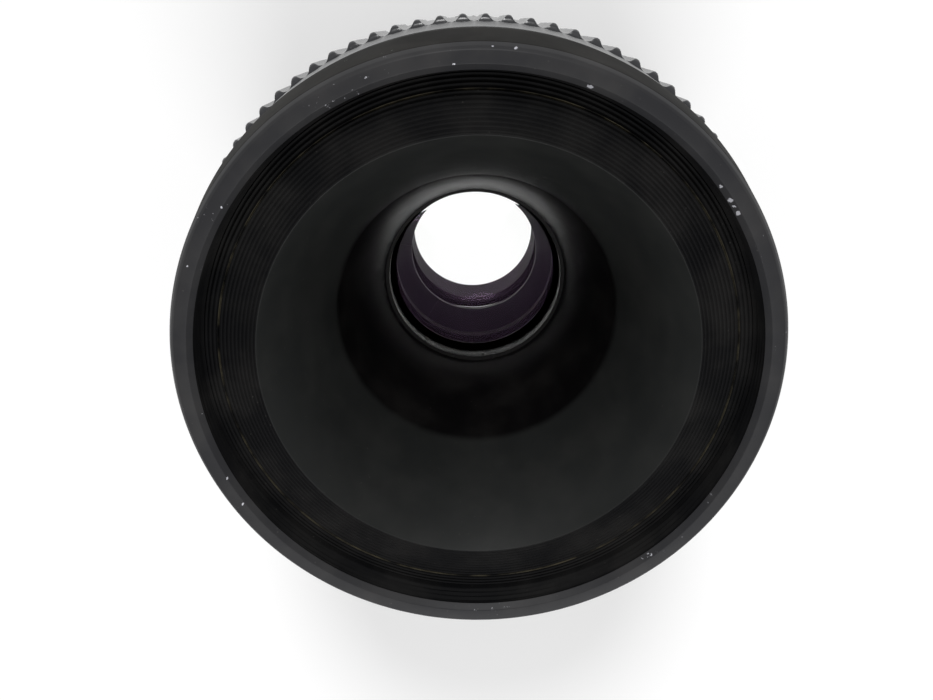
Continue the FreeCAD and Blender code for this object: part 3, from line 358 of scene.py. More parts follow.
def repeated(name, mesh, count, step, material):
    """A mesh repeated round the axis by the geometry nodes; step is in degrees."""
    values = {"Count": count, "Step Angle": math.radians(step), "Weld Distance": WELD * MM,
              "Finish": material}

    def modify(holder):
        modifier = holder.modifiers.new("repeat", "NODES")
        modifier.node_group = REPEAT
        for item in REPEAT.interface.items_tree:
            if item.in_out == "INPUT" and item.name in values:
                modifier[item.identifier] = values[item.name]
        return []

    return evaluated(name, mesh, modify)


# Shader groups


class Tree:
    """Short ways to place and join nodes in a node tree."""

    def __init__(self, tree):
        self.tree = tree

    def add(self, kind, **values):
        """A new node with some of its settings."""
        node = self.tree.nodes.new(kind)
        for key, value in values.items():
            setattr(node, key, value)
        return node

    def link(self, source, target):
        self.tree.links.new(source, target)

    def put(self, value, socket):
        """Sets a socket to a number or a colour, or links another socket to it."""
        if isinstance(value, (int, float)):
            socket.default_value = value
        elif isinstance(value, tuple):
            socket.default_value = (*value, 1.0)
        else:
            self.link(value, socket)

    def math(self, operation, a, b=None, clamp=False):
        """One step of reckoning with numbers or sockets."""
        node = self.add("ShaderNodeMath", operation=operation, use_clamp=clamp)
        self.put(a, node.inputs[0])
        if b is not None:
            self.put(b, node.inputs[1])
        return node.outputs[0]

    def ramp(self, value, low, high):
        """A smooth rise from 0 where a value is low to 1 where it is high; low may be the larger."""
        node = self.add("ShaderNodeMapRange", interpolation_type="SMOOTHSTEP")
        self.put(low, node.inputs["From Min"])
        self.put(high, node.inputs["From Max"])
        self.put(value, node.inputs["Value"])
        return node.outputs["Result"]

    def noise(self, vector, scale, detail=4.0, roughness=0.55, output="Fac"):
        """Soft noise in space, as a value or, by its output, as a colour."""
        node = self.add("ShaderNodeTexNoise")
        node.inputs["Scale"].default_value = scale
        node.inputs["Detail"].default_value = detail
        node.inputs["Roughness"].default_value = roughness
        self.link(vector, node.inputs["Vector"])
        return node.outputs[output]

    def mix(self, factor, a, b):
        """Two colours mixed: a where the factor is 0, b where it is 1."""
        node = self.add("ShaderNodeMix", data_type="RGBA")
        self.put(factor, node.inputs[0])
        self.put(a, node.inputs[6])
        self.put(b, node.inputs[7])
        return node.outputs[2]

    def bump(self, height, distance, under=None):
        """The normal of a surface with a height of so many metres; under is the normal it lies on."""
        node = self.add("ShaderNodeBump")
        node.inputs["Strength"].default_value = 1.0
        node.inputs["Distance"].default_value = distance
        self.link(height, node.inputs["Height"])
        if under is not None:
            self.link(under, node.inputs["Normal"])
        return node.outputs["Normal"]

    def radius_and_level(self, where):
        """How far a place is from the optical axis, and how high, in metres."""
        split = self.add("ShaderNodeSeparateXYZ")
        self.link(where, split.inputs[0])
        x, y, z = split.outputs
        squares = self.math("ADD", self.math("MULTIPLY", x, x), self.math("MULTIPLY", y, y))
        return self.math("SQRT", squares), z

    def effect(self, group, where, **values):
        """Places a shader group at a position and returns its mask or height."""
        node = self.add("ShaderNodeGroup", node_tree=group)
        self.link(where, node.inputs["Position"])
        for key, value in values.items():
            self.put(value, node.inputs[key])
        return node.outputs[0]


def new_group(name, output, amount=False):
    """An empty shader group with a position, an amount where it takes one, and one value out."""
    group = bpy.data.node_groups.new(name, "ShaderNodeTree")
    group.interface.new_socket(name="Position", in_out="INPUT", socket_type="NodeSocketVector")
    if amount:
        socket = group.interface.new_socket(name="Amount", in_out="INPUT", socket_type="NodeSocketFloat")
        socket.default_value = 0.5
    group.interface.new_socket(name=output, in_out="OUTPUT", socket_type="NodeSocketFloat")
    t = Tree(group)
    start, end = t.add("NodeGroupInput"), t.add("NodeGroupOutput")
    return group, t, start, end.inputs[output]


def dust_group():
    """Fine dust and specks that lie on a surface: a mask from 0 to 1."""
    group, t, start, mask = new_group("lens_dust", "Mask", amount=True)
    where = start.outputs["Position"]
    cells = t.add("ShaderNodeTexVoronoi", feature="F1")
    cells.inputs["Scale"].default_value = 1500.0
    t.link(where, cells.inputs["Vector"])
    grain = t.ramp(cells.outputs["Distance"], 0.16, 0.05)
    patches = t.ramp(t.noise(where, 420.0, 5.0), 0.50, 0.72)
    film = t.ramp(t.noise(where, 160.0, 3.0), 0.35, 0.75)
    specks = t.math("MULTIPLY", grain, patches)
    both = t.math("ADD", t.math("MULTIPLY", film, 0.25), specks, clamp=True)
    t.link(t.math("MULTIPLY", both, start.outputs["Amount"], clamp=True), mask)
    return group


LINES_PER_METRE = 9000.0


def lathe_group():
    """Fine lines left by turning: a height that changes with the radius and the level only."""
    group, t, start, height = new_group("turning_lines", "Height")
    radius, z = t.radius_and_level(start.outputs["Position"])
    along = t.math("ADD", radius, t.math("MULTIPLY", z, 0.83))
    line = t.add("ShaderNodeTexNoise", noise_dimensions="1D")
    line.inputs["Detail"].default_value = 3.0
    line.inputs["Scale"].default_value = 1.0
    t.link(t.math("MULTIPLY", along, LINES_PER_METRE), line.inputs["W"])
    t.link(line.outputs["Fac"], height)
    return group


def chips_group():
    """Small bright chips where a coat has come off, in clumps: a mask from 0 to 1."""
    group, t, start, mask = new_group("coat_chips", "Mask", amount=True)
    where = start.outputs["Position"]
    small = t.noise(where, 2100.0, 6.0, 0.7)
    clumps = t.noise(where, 170.0, 2.0)
    bar = t.math("SUBTRACT", 1.03, t.math("MULTIPLY", clumps, start.outputs["Amount"]))
    t.link(t.ramp(small, bar, t.math("ADD", bar, 0.04)), mask)
    return group


# Nicks in the front rim: angle in degrees, radius and size in millimetres
RIM_NICKS = ((70.2, 27.75, 0.26), (39.0, 27.75, 0.20), (35.8, 27.75, 0.30), (34.4, 27.75, 0.16),
             (32.8, 27.75, 0.26), (211.8, 28.30, 0.16), (205.1, 28.02, 0.15), (146.0, 28.02, 0.14),
             (159.2, 28.80, 0.12), (94.7, 28.00, 0.12), (84.2, 29.45, 0.20), (88.0, 29.45, 0.12))
# The rim's flat lies between these radii; nicks outside them are on its bevels, a little lower
FLAT_INNER, FLAT_OUTER = 27.9, 29.2
BEVEL_RISE = 0.02
# Noise shifts each place by up to this much along x, y and z, and by half of it on average
NICK_SHAKE = 0.5


def nicks_group():
    """Nicks that knocks have left on the front rim: a mask from 0 to 1."""
    group, t, start, mask = new_group("rim_nicks", "Mask")
    where = start.outputs["Position"]
    moved = t.add("ShaderNodeVectorMath", operation="MULTIPLY_ADD")
    moved.inputs[1].default_value = (NICK_SHAKE * MM, NICK_SHAKE * MM, NICK_SHAKE * MM)
    t.link(t.noise(where, 3200.0, 3.0, 0.5, "Color"), moved.inputs[0])
    t.link(where, moved.inputs[2])
    middle = Vector((1.0, 1.0, 1.0)) * NICK_SHAKE / 2 * MM
    nicked = None
    for angle, radius, size in RIM_NICKS:
        rise = RIM_RISE if FLAT_INNER < radius < FLAT_OUTER else BEVEL_RISE
        away = t.add("ShaderNodeVectorMath", operation="DISTANCE")
        t.link(moved.outputs[0], away.inputs[0])
        place = on_circle(radius, math.radians(angle), RIM_PLANE + rise)
        away.inputs[1].default_value = Vector(place) + middle
        one = t.ramp(away.outputs["Value"], size * MM, size * 0.7 * MM)
        nicked = one if nicked is None else t.math("MAXIMUM", nicked, one)
    t.link(nicked, mask)
    return group


DUST = dust_group()
LATHE = lathe_group()
CHIPS = chips_group()
NICKS = nicks_group()

# Materials


def empty_material(name):
    """A material with an empty node tree."""
    material = bpy.data.materials.new(name)
    material.use_nodes = True
    material.node_tree.nodes.clear()
    return material, Tree(material.node_tree)


def new_material(name):
    """A material with its surface shader, and the place on the piece as a socket."""
    material, t = empty_material(name)
    shader = t.add("ShaderNodeBsdfPrincipled")
    t.link(shader.outputs[0], t.add("ShaderNodeOutputMaterial").inputs["Surface"])
    return material, t, shader, t.add("ShaderNodeTexCoord").outputs["Object"]


# Depths of the turning lines and of the grain in metres; a noise's scale is per metre
LINE_DEPTH, GRAIN_DEPTH, GRAIN_SCALE = 0.000002, 0.000003, 2600.0
ROUGHNESS_SPREAD = 0.12
# Dust lies in the thin line where the grooved ring and the funnel's flange meet
SEAM_R, SEAM_HALF_WIDTH, SEAM_DUST = 25.7, 0.13, (0.060, 0.053, 0.036)
# Painted shade: the funnel's colour darkens to near black below its waist, from one level to the other; it
# is also a little less rough there
DEEP_START, DEEP_FULL, DEEP_SHADE_COLOUR = RIM_PLANE - 15.4, RIM_PLANE - 16.7, (0.0022, 0.0020, 0.0022)
DEEP_POLISH = 0.08


def metal_coat(name, colour, shade, roughness, dust=0.35, dust_colour=(0.20, 0.19, 0.175), chips=0.0,
               chip_colour=(0.62, 0.60, 0.55), metallic=0.0, specular=0.5, nicked=False, seam=False,
               deep_shade=False):
    """A finished metal surface: colour drift, turning lines, fine grain, dust and small chips, and in the
    funnel painted shade below its waist.
    """
    material, t, shader, where = new_material(name)
    coat = t.mix(t.ramp(t.noise(where, 90.0, 3.0), 0.3, 0.7), colour, shade)
    spread = t.math("MULTIPLY", t.noise(where, 300.0, 4.0), ROUGHNESS_SPREAD)
    rough = t.math("ADD", spread, roughness - ROUGHNESS_SPREAD / 2)
    if seam or deep_shade:
        radius, z = t.radius_and_level(where)
    # Painted shade: the colour goes near black below the funnel's waist
    if deep_shade:
        below = t.ramp(z, DEEP_START * MM, DEEP_FULL * MM)
        coat = t.mix(below, coat, DEEP_SHADE_COLOUR)
        rough = t.math("SUBTRACT", rough, t.math("MULTIPLY", below, DEEP_POLISH))
    dusty = t.effect(DUST, where, Amount=dust)
    coat = t.mix(dusty, coat, dust_colour)
    rough = t.math("ADD", rough, t.math("MULTIPLY", dusty, 0.3), clamp=True)
    if seam:
        away = t.math("ABSOLUTE", t.math("SUBTRACT", radius, SEAM_R * MM))
        line = t.ramp(away, SEAM_HALF_WIDTH * MM, SEAM_HALF_WIDTH * 0.4 * MM)
        line = t.math("MULTIPLY", line, t.ramp(t.noise(where, 500.0, 5.0), 0.35, 0.70))
        coat = t.mix(line, coat, SEAM_DUST)
    if chips:
        worn = t.effect(CHIPS, where, Amount=chips)
        if nicked:
            worn = t.math("MAXIMUM", worn, t.effect(NICKS, where))
        coat = t.mix(worn, coat, chip_colour)
        metallic = t.math("MULTIPLY", worn, 0.5)
    t.put(metallic, shader.inputs["Metallic"])
    t.link(coat, shader.inputs["Base Color"])
    t.link(rough, shader.inputs["Roughness"])
    shader.inputs["Specular IOR Level"].default_value = specular
    lines = t.bump(t.effect(LATHE, where), LINE_DEPTH)
    t.link(t.bump(t.noise(where, GRAIN_SCALE, 2.0), GRAIN_DEPTH, lines), shader.inputs["Normal"])
    return material


def lens_glass(name, tint, coating):
    """Clear coated glass with a faint colour and a little haze."""
    material, t, shader, where = new_material(name)
    shader.inputs["Transmission Weight"].default_value = 1.0
    shader.inputs["IOR"].default_value = 1.52
    shader.inputs["Specular Tint"].default_value = (*coating, 1.0)
    haze = t.ramp(t.noise(where, 240.0, 4.0), 0.55, 0.85)
    dust = t.effect(DUST, where, Amount=0.16)
    t.link(t.mix(haze, tint, tuple(c * 0.99 for c in tint)), shader.inputs["Base Color"])
    rough = t.math("ADD", t.math("MULTIPLY", haze, 0.004), t.math("MULTIPLY", dust, 0.25))
    t.link(rough, shader.inputs["Roughness"])
    return material


def paint(name, colour, shade):
    """Dull paint rubbed into engraved marks, slightly worn."""
    material, t, shader, where = new_material(name)
    dirt = t.ramp(t.noise(where, 700.0, 4.0), 0.45, 0.75)
    t.link(t.mix(dirt, colour, shade), shader.inputs["Base Color"])
    t.link(t.math("ADD", t.math("MULTIPLY", dirt, 0.2), 0.5), shader.inputs["Roughness"])
    t.link(t.bump(t.noise(where, 3000.0, 2.0), 0.000004), shader.inputs["Normal"])
    return material


ANODISED = metal_coat("black_anodised_satin", (0.0095, 0.0095, 0.0100), (0.0130, 0.0125, 0.0125), 0.38,
                      dust=0.22, chips=0.62, specular=0.26, chip_colour=(0.42, 0.42, 0.42))
RIM_COAT = metal_coat("black_anodised_rim", (0.0120, 0.0122, 0.0140), (0.0150, 0.0150, 0.0168), 0.50,
                      dust=0.25, chips=0.58, specular=0.17, chip_colour=(0.40, 0.40, 0.43), nicked=True)
BAND_COAT = metal_coat("black_anodised_band", (0.0045, 0.0042, 0.0038), (0.0070, 0.0065, 0.0055), 0.60,
                       dust=0.16, chips=0.56, specular=0.03, chip_colour=(0.35, 0.35, 0.35))
KNURL_COAT = metal_coat("black_anodised_knurl", (0.0110, 0.0115, 0.0140), (0.0160, 0.0168, 0.0200), 0.27,
                        dust=0.14, chips=0.52, specular=0.42, chip_colour=(0.50, 0.50, 0.52))
MATT = metal_coat("matt_black_paint", (0.0032, 0.0033, 0.0037), (0.0048, 0.0048, 0.0052), 0.60,
                  dust=0.16, specular=0.045, seam=True)
# Satin black funnel paint, with painted shade below its waist
FUNNEL_PAINT_AND_SHADE = metal_coat("funnel_satin_black_and_painted_shade", (0.0105, 0.0112, 0.0110), (0.0135, 0.0143, 0.0140), 0.44,
                          dust=0.10, specular=0.085, seam=True, deep_shade=True)
TUBE_PAINT = metal_coat("tube_light_trap", (0.0075, 0.0056, 0.0066), (0.0105, 0.0078, 0.0088), 0.62,
                        dust=0.20, specular=0.07)
GLOSS = metal_coat("gloss_black_ring", (0.0030, 0.0028, 0.0030), (0.0045, 0.0040, 0.0040), 0.26,
                   dust=0.08, specular=0.08)
BRASS = metal_coat("turned_brass", (0.55, 0.40, 0.16), (0.62, 0.47, 0.20), 0.30, dust=0.1,
                   dust_colour=(0.35, 0.28, 0.16), metallic=1.0)
CHROMED = metal_coat("chromed_mount", (0.62, 0.62, 0.63), (0.70, 0.70, 0.71), 0.24, dust=0.15,
                     dust_colour=(0.3, 0.3, 0.3), metallic=1.0)
STEEL = metal_coat("turned_steel", (0.45, 0.45, 0.47), (0.52, 0.52, 0.54), 0.30, dust=0.1,
                   dust_colour=(0.3, 0.3, 0.3), metallic=1.0)
BLUED = metal_coat("blued_blades", (0.020, 0.021, 0.026), (0.030, 0.031, 0.038), 0.36, dust=0.1)
GLASS = lens_glass("coated_glass", (1.0, 1.0, 1.0), (0.13, 0.085, 0.145))
WHITE_FILL = paint("white_paint_fill", (0.72, 0.71, 0.67), (0.50, 0.49, 0.45))
AMBER_FILL = paint("amber_paint_fill", (0.75, 0.34, 0.06), (0.50, 0.24, 0.06))
RED_FILL = paint("red_paint_fill", (0.55, 0.03, 0.03), (0.35, 0.03, 0.03))

SLOT_MATERIALS = {
    "black_anodised": ANODISED, "matt_black": MATT, "gloss_black": GLOSS, "glass": GLASS, "brass": BRASS,
    "chromed_brass": CHROMED, "steel": STEEL, "blued_steel": BLUED,
}
# Pieces round the light path, in a dull paint against stray light
TUBE_NODES = ("front_cell", "rear_cell", "glass_spacer", "iris_drive_ring", "rear_retaining_ring")

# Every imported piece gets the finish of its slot
for entry in frame["record"]["subparts"]:
    node = frame["nodes"][entry["node"]]
    node.data.materials.clear()
    inner = entry["node"] in TUBE_NODES
    node.data.materials.append(TUBE_PAINT if inner else SLOT_MATERIALS[entry["material_slot"]])

# Front barrel, grooves and funnel

FILTER_R, MOUTH_R, RIM_R, BAND_R = 27.5, 28.0, 29.5, 30.74
BAND_WALL, BAND_SKIRT = 1.3, 2.6
BEVEL_WIDTH, BEVEL_DROP = 0.35, 0.7
FILTER_FLOOR = RIM_PLANE - 3.1
LEDGE = FILTER_FLOOR - 1.5
RETAINER_R, SLIDE_R = 27.2, 26.5
SEAT_GAP = 0.02
EDGE_R, EDGE_LEVEL = 21.74, RIM_PLANE - 1.56
SEAM_LEVEL = EDGE_LEVEL - (EDGE_LEVEL - FILTER_FLOOR) * (SEAM_R - EDGE_R) / (RETAINER_R - EDGE_R)
WAIST_R, WAIST_LEVEL = 15.65, RIM_PLANE - 16.5
THROAT_R, THROAT_LEVEL = 11.4, BEZEL_TOP + 0.7
CELL_TOP = THROAT_LEVEL - 0.5
FUNNEL_WALL = 1.2
FOOT_BORE, FOOT_WALL, FOOT_FLOOR = 14.01, 2.0, CELL_TOP - 5.3
BEZEL_R, BEZEL_WALL, BEZEL_FLOOR = 10.89, 1.0, CELL_TOP - 2.8
FILTER_PITCH, FILTER_DEPTH, FILTER_FADE = 0.75, 0.30, 0.4
FILTER_TOP = RIM_PLANE - 0.25
FILTER_STEPS = 30


def filter_thread(z):
    """Radius of the filter thread's wall at a level, as a function of the angle."""
    fade = max(0.0, min(1.0, (FILTER_TOP - z) / FILTER_FADE, (z - FILTER_FLOOR) / FILTER_FADE))
    return lambda angle: FILTER_R + SEAT_GAP + FILTER_DEPTH * tooth(z, angle, FILTER_PITCH) * fade


def front_barrel_piece():
    """The rim with its bevel, the band behind it, and the filter thread down to the retainer's seat."""
    skirt_top = BAND_REAR + BAND_SKIRT
    outer = rounded([
        (SLIDE_R + SEAT_GAP, skirt_top), (BAND_R - BAND_WALL, skirt_top), (BAND_R - BAND_WALL, BAND_REAR),
        (BAND_R, BAND_REAR), (BAND_R, BAND_REAR + 2.4), (RIM_R + BEVEL_WIDTH, RIM_PLANE - BEVEL_DROP),
        (RIM_R, RIM_PLANE), (RIM_R - RIM_RISE, RIM_TOP), (MOUTH_R, RIM_TOP)], 0.10)
    # The round of the mouth's corner reaches in past the thread, so that part of it is left out
    outer = [p for p in outer if p[0] >= MOUTH_R - 0.01 or p[1] < RIM_PLANE - 2]
    levels = [FILTER_TOP + (FILTER_FLOOR - FILTER_TOP) * i / FILTER_STEPS for i in range(FILTER_STEPS + 1)]
    thread = [(filter_thread(z), z) for z in levels]
    seat = [(RETAINER_R, FILTER_FLOOR), (RETAINER_R, LEDGE), (SLIDE_R + SEAT_GAP, LEDGE)]
    mesh = turned("front_barrel_look", outer + thread + seat, 320)
    piece = finished("front_barrel_look", mesh, "block", RIM_COAT, ["front_barrel"], 32)
    second_finish(piece, BAND_COAT, lambda r, z: z < RIM_PLANE - 0.62 and r > MOUTH_R)
    second_finish(piece, MATT, lambda r, z: r < MOUTH_R - 0.06 and z < RIM_PLANE - 0.24)


def retaining_ring_piece():
    """The grooved ring that screws in behind the filter thread."""
    grooves = grooved((RETAINER_R - 0.10, FILTER_FLOOR + 0.05), (SEAM_R + 0.10, SEAM_LEVEL - 0.02))
    outline = [(SEAM_R + 0.02, SEAM_LEVEL - 0.12), (SEAM_R + 0.02, LEDGE), (RETAINER_R - 0.02, LEDGE),
               (RETAINER_R - 0.02, FILTER_FLOOR - 0.08)] + grooves
    mesh = turned("grooved_ring_look", outline)
    finished("grooved_ring_look", mesh, "block", MATT, ["grooved_retaining_ring"], 60)


def funnel_piece():
    """The flange with its ring grooves, the smooth cone, the rounded waist and the lower cone."""
    grooves = grooved((SEAM_R - 0.14, SEAM_LEVEL), (EDGE_R + 0.22, EDGE_LEVEL - 0.03))
    slope = (EDGE_R - WAIST_R) / (EDGE_LEVEL - WAIST_LEVEL)
    shoulder = EDGE_R - (EDGE_LEVEL - LEDGE) * slope + FUNNEL_WALL
    waist = [(WAIST_R + 0.05, WAIST_LEVEL + 0.30), (WAIST_R - 0.03, WAIST_LEVEL + 0.05),
             (WAIST_R - 0.12, WAIST_LEVEL - 0.20), (WAIST_R - 0.25, WAIST_LEVEL - 0.42)]
    inside = [(EDGE_R + 0.10, EDGE_LEVEL), (EDGE_R, EDGE_LEVEL - 0.06)] + waist + [(THROAT_R, THROAT_LEVEL)]
    back = [(THROAT_R, CELL_TOP), (FOOT_BORE, CELL_TOP), (FOOT_BORE, FOOT_FLOOR),
            (FOOT_BORE + FOOT_WALL, FOOT_FLOOR), (FOOT_BORE + FOOT_WALL, THROAT_LEVEL + 1.5),
            (WAIST_R + FUNNEL_WALL, WAIST_LEVEL - 0.5), (shoulder, LEDGE), (SEAM_R - 0.02, LEDGE),
            (SEAM_R - 0.02, SEAM_LEVEL - 0.12)]
    mesh = turned("front_funnel_look", grooves + inside + back, 320)
    piece = finished("front_funnel_look", mesh, "block", FUNNEL_PAINT_AND_SHADE, ["front_funnel"], 50)
    second_finish(piece, MATT, lambda r, z: r > EDGE_R + 0.15 and z > LEDGE)


def bezel_piece():
    """The ring that holds the front glass in its cell."""
    wall, throat = BEZEL_R + BEZEL_WALL, THROAT_R - 0.02
    outline = rounded([
        (BEZEL_R, BEZEL_FLOOR + 0.35), (wall, BEZEL_FLOOR + 0.02), (wall, CELL_TOP), (throat, CELL_TOP),
        (throat, BEZEL_TOP), (BEZEL_R, BEZEL_TOP)], 0.08)
    mesh = turned("front_bezel_look", outline)
    finished("front_bezel_look", mesh, "block", GLOSS, ["front_bezel"], 40)


front_barrel_piece()
retaining_ring_piece()
funnel_piece()
bezel_piece()

# Glass: curve and clear radius of each curved face

FRONT_GLASS_R, FRONT_GLASS_EDGE, FRONT_CURVE = 11.6, 1.3, 28.0
SECOND_FRONT_CURVE, SECOND_FRONT_CLEAR = 72.0, 10.3
SECOND_REAR_CURVE, SECOND_REAR_CLEAR = 27.0, 9.0
REAR_GLASS_R, CEMENT_CURVE, REAR_CURVE = 9.5, 20.0, 30.0
THIRD_MIDDLE, FOURTH_EDGE = 0.8, 1.2
FRONT_GLASS_FLOOR = floor_of("front_element")
SECOND_FLOOR = floor_of("second_element")
SPACER_FLOOR = floor_of("glass_spacer")
THIRD_FRONT = top_of("third_element")
CEMENT_EDGE = THIRD_FRONT - THIRD_MIDDLE - sag(CEMENT_CURVE, REAR_GLASS_R)


def lens(name, front, rear, edge_radius, nodes):
    """A glass from its two faces, given from the axis outwards."""
    side = [(edge_radius, face[-1][1]) for face in (front, rear) if face[-1][0] < edge_radius - 0.01]
    mesh = solid_of_outline(name, front + side + rear[::-1], 192)
    finished(name, mesh, "block", GLASS, nodes, 25)


def flat_face(level, edge_radius):
    """A flat face of a glass, from the axis outwards."""
    return [(0.0, level), (edge_radius, level)]


lens("front_glass_look", sphere_face(FRONT_CURVE, FRONT_GLASS_R, FRONT_GLASS_FLOOR + FRONT_GLASS_EDGE, 1),
     flat_face(FRONT_GLASS_FLOOR, FRONT_GLASS_R), FRONT_GLASS_R, ["front_element"])
lens("second_glass_look", sphere_face(SECOND_FRONT_CURVE, SECOND_FRONT_CLEAR, SPACER_FLOOR, -1),
     sphere_face(SECOND_REAR_CURVE, SECOND_REAR_CLEAR, SECOND_FLOOR, 1), FRONT_GLASS_R, ["second_element"])
lens("rear_pair_look", flat_face(THIRD_FRONT, REAR_GLASS_R),
     sphere_face(REAR_CURVE, REAR_GLASS_R, CEMENT_EDGE - FOURTH_EDGE, -1), REAR_GLASS_R,
     ["third_element", "fourth_element"])

# Knurled rings

# Where one rib has its rows of points, as shares of the pitch, closest together on its flanks
RIB_SHARES = (-0.50, -0.42, -0.36, -0.30, -0.25, -0.20, -0.15, -0.09, -0.03, 0.03, 0.09, 0.15, 0.20, 0.25,
              0.30, 0.36, 0.42, 0.50)
RIB_HALF_WIDTH, RIB_ROUND = 0.21, 3.4


def rib_rise(share, depth):
    """Height of the knurl over its valley at a share of the pitch: a round rib with hollow flanks."""
    def bell(at):
        return 1.0 / (1.0 + (abs(at) / RIB_HALF_WIDTH) ** RIB_ROUND)
    return depth * (bell(share) - bell(0.5)) / (1.0 - bell(0.5))


def knurled(name, plain, grip, inner, valley, depth, ribs, material, phase=0.0):
    """A ring whose outer wall has ribs along it. plain, grip and inner are its closed outline, and the
    knurl may cut the grip down to the valley. phase, in degrees, is the angle of one rib."""
    pitch = 360.0 / ribs
    outline = plain + grip + inner
    cut = range(len(plain), len(plain) + len(grip))
    count = len(outline)
    points = []
    for share in RIB_SHARES:
        angle = math.radians(pitch * share + phase)
        top = valley + rib_rise(share, depth)
        for j, (radius, z) in enumerate(outline):
            points.append(on_circle(min(radius, top) if j in cut else radius, angle, z))
    faces = []
    for column in range(len(RIB_SHARES) - 1):
        here, there = column * count, (column + 1) * count
        for j in range(count):
            k = (j + 1) % count
            faces.append((here + j, here + k, there + k, there + j))
    sector = bpy.data.meshes.new(name + "_sector")
    sector.from_pydata(points, [], faces)
    return outward(repeated(name, sector, ribs, pitch, material))


FOCUS_RIBS, FOCUS_BORE, FOCUS_SCALE_R = 87, 29.65, 31.1
FOCUS_GRIP_FLOOR = FOCUS_FLOOR + 11.0
SLEEVE_R, SLEEVE_TOP, FLANGE_FLOOR = 28.15, FOCUS_TOP - 5.7, FOCUS_TOP - 9.4
COLLAR_FLOOR, COLLAR_R, COLLAR_FRONT_R = FOCUS_TOP - 5.0, 31.12, 30.79
RIB_CREST_R, RIB_FALL, RIB_PHASE = 31.82, 0.34, 1.78
GRUB_HOLE_R, GRUB_LEVEL, GRUB_ANGLES = 0.78, FLANGE_FLOOR + 1.85, (20.0, 140.0, 260.0)


def focus_ring_piece():
    """The focusing ring: scale part, ribs that fall a little to the rear, smooth front collar."""
    plain = [(FOCUS_BORE, FOCUS_FLOOR), (FOCUS_SCALE_R - 0.15, FOCUS_FLOOR),
             (FOCUS_SCALE_R, FOCUS_FLOOR + 0.15), (FOCUS_SCALE_R, FOCUS_GRIP_FLOOR - 0.35)]
    rear, front = FOCUS_GRIP_FLOOR + 0.6, COLLAR_FLOOR - 0.75
    rib_foot = COLLAR_R + 0.01
    grip = (between((rib_foot, FOCUS_GRIP_FLOOR), (RIB_CREST_R - RIB_FALL, rear), 4)
            + between((RIB_CREST_R - RIB_FALL, rear), (RIB_CREST_R, front), 4)
            + eased_end((RIB_CREST_R, front), (rib_foot, COLLAR_FLOOR), 6))
    collar = [(COLLAR_R, COLLAR_FLOOR + 0.02), (COLLAR_FRONT_R, FOCUS_TOP - 0.25),
              (COLLAR_FRONT_R - 0.04, FOCUS_TOP - 0.06), (COLLAR_FRONT_R - 0.12, FOCUS_TOP)]
    mouth, seat = SLIDE_R + 0.2, SLEEVE_R + 0.02
    bore = [(mouth + 0.1, FOCUS_TOP), (mouth, FOCUS_TOP - 0.1), (mouth, SLEEVE_TOP + 0.1),
            (seat, SLEEVE_TOP + 0.1), (seat, FLANGE_FLOOR), (FOCUS_BORE, FLANGE_FLOOR)]
    mesh = knurled("focus_ring_look", plain, grip, collar + bore, COLLAR_R, RIB_CREST_R - COLLAR_R,
                   FOCUS_RIBS, KNURL_COAT, RIB_PHASE)
    drills = [side_drill(GRUB_HOLE_R, angle, GRUB_LEVEL, 27.0, 33.0) for angle in GRUB_ANGLES]
    mesh = drilled("focus_ring_look", mesh, drills)
    finished("focus_ring_look", mesh, "focus", KNURL_COAT, ["focus_ring"], 35)


APERTURE_RIBS, APERTURE_BORE, APERTURE_R, APERTURE_TIP_R = 84, 28.3, 30.0, 30.9
APERTURE_RIB_DEPTH, APERTURE_GRIP = 0.6, 4.8
ARM_HOLE_R, ARM_ANGLE = 0.68, -25.0


def aperture_ring_piece():
    """The aperture ring: a plain part for its numbers, ribs in front of it."""
    grip_floor = APERTURE_TOP - APERTURE_GRIP
    plain = [(APERTURE_BORE, APERTURE_FLOOR), (APERTURE_R - 0.12, APERTURE_FLOOR),
             (APERTURE_R, APERTURE_FLOOR + 0.12), (APERTURE_R, grip_floor - 0.7)]
    grip = (between((APERTURE_R, grip_floor - 0.6), (APERTURE_TIP_R, grip_floor), 3)
            + [(APERTURE_TIP_R, grip_floor), (APERTURE_TIP_R, grip_floor + 2.0)]
            + between((APERTURE_TIP_R, APERTURE_TOP - 0.5), (APERTURE_TIP_R - 0.5, APERTURE_TOP), 4))
    inner = [(APERTURE_TIP_R - 0.58, APERTURE_TOP), (APERTURE_BORE, APERTURE_TOP)]
    mesh = knurled("aperture_ring_look", plain, grip, inner, APERTURE_TIP_R - APERTURE_RIB_DEPTH,
                   APERTURE_RIB_DEPTH, APERTURE_RIBS, ANODISED)
    mesh = drilled("aperture_ring_look", mesh, [side_drill(ARM_HOLE_R, ARM_ANGLE, ARM_LEVEL, 27.0, 32.0)])
    finished("aperture_ring_look", mesh, "aperture", ANODISED, ["aperture_ring"], 35)


focus_ring_piece()
aperture_ring_piece()

# Fixed barrel and mount

FIXED_R, FIXED_UPPER_R, FIXED_BORE, FIXED_BAND_R = 28.2, 29.6, 26.9, 30.3
SLEEVE_BORE, FIXED_FOOT_BORE, FIXED_FOOT = 28.2, 25.8, 1.4
BAND_FLOOR = APERTURE_TOP + 0.3
BAND_TOP = BAND_FLOOR + 9.5
SLEEVE_SEAT = BAND_FLOOR + 4.8
WINDOW_TOP = floor_of("aperture_arm") + 2.0
WINDOW_HALF = 34.0


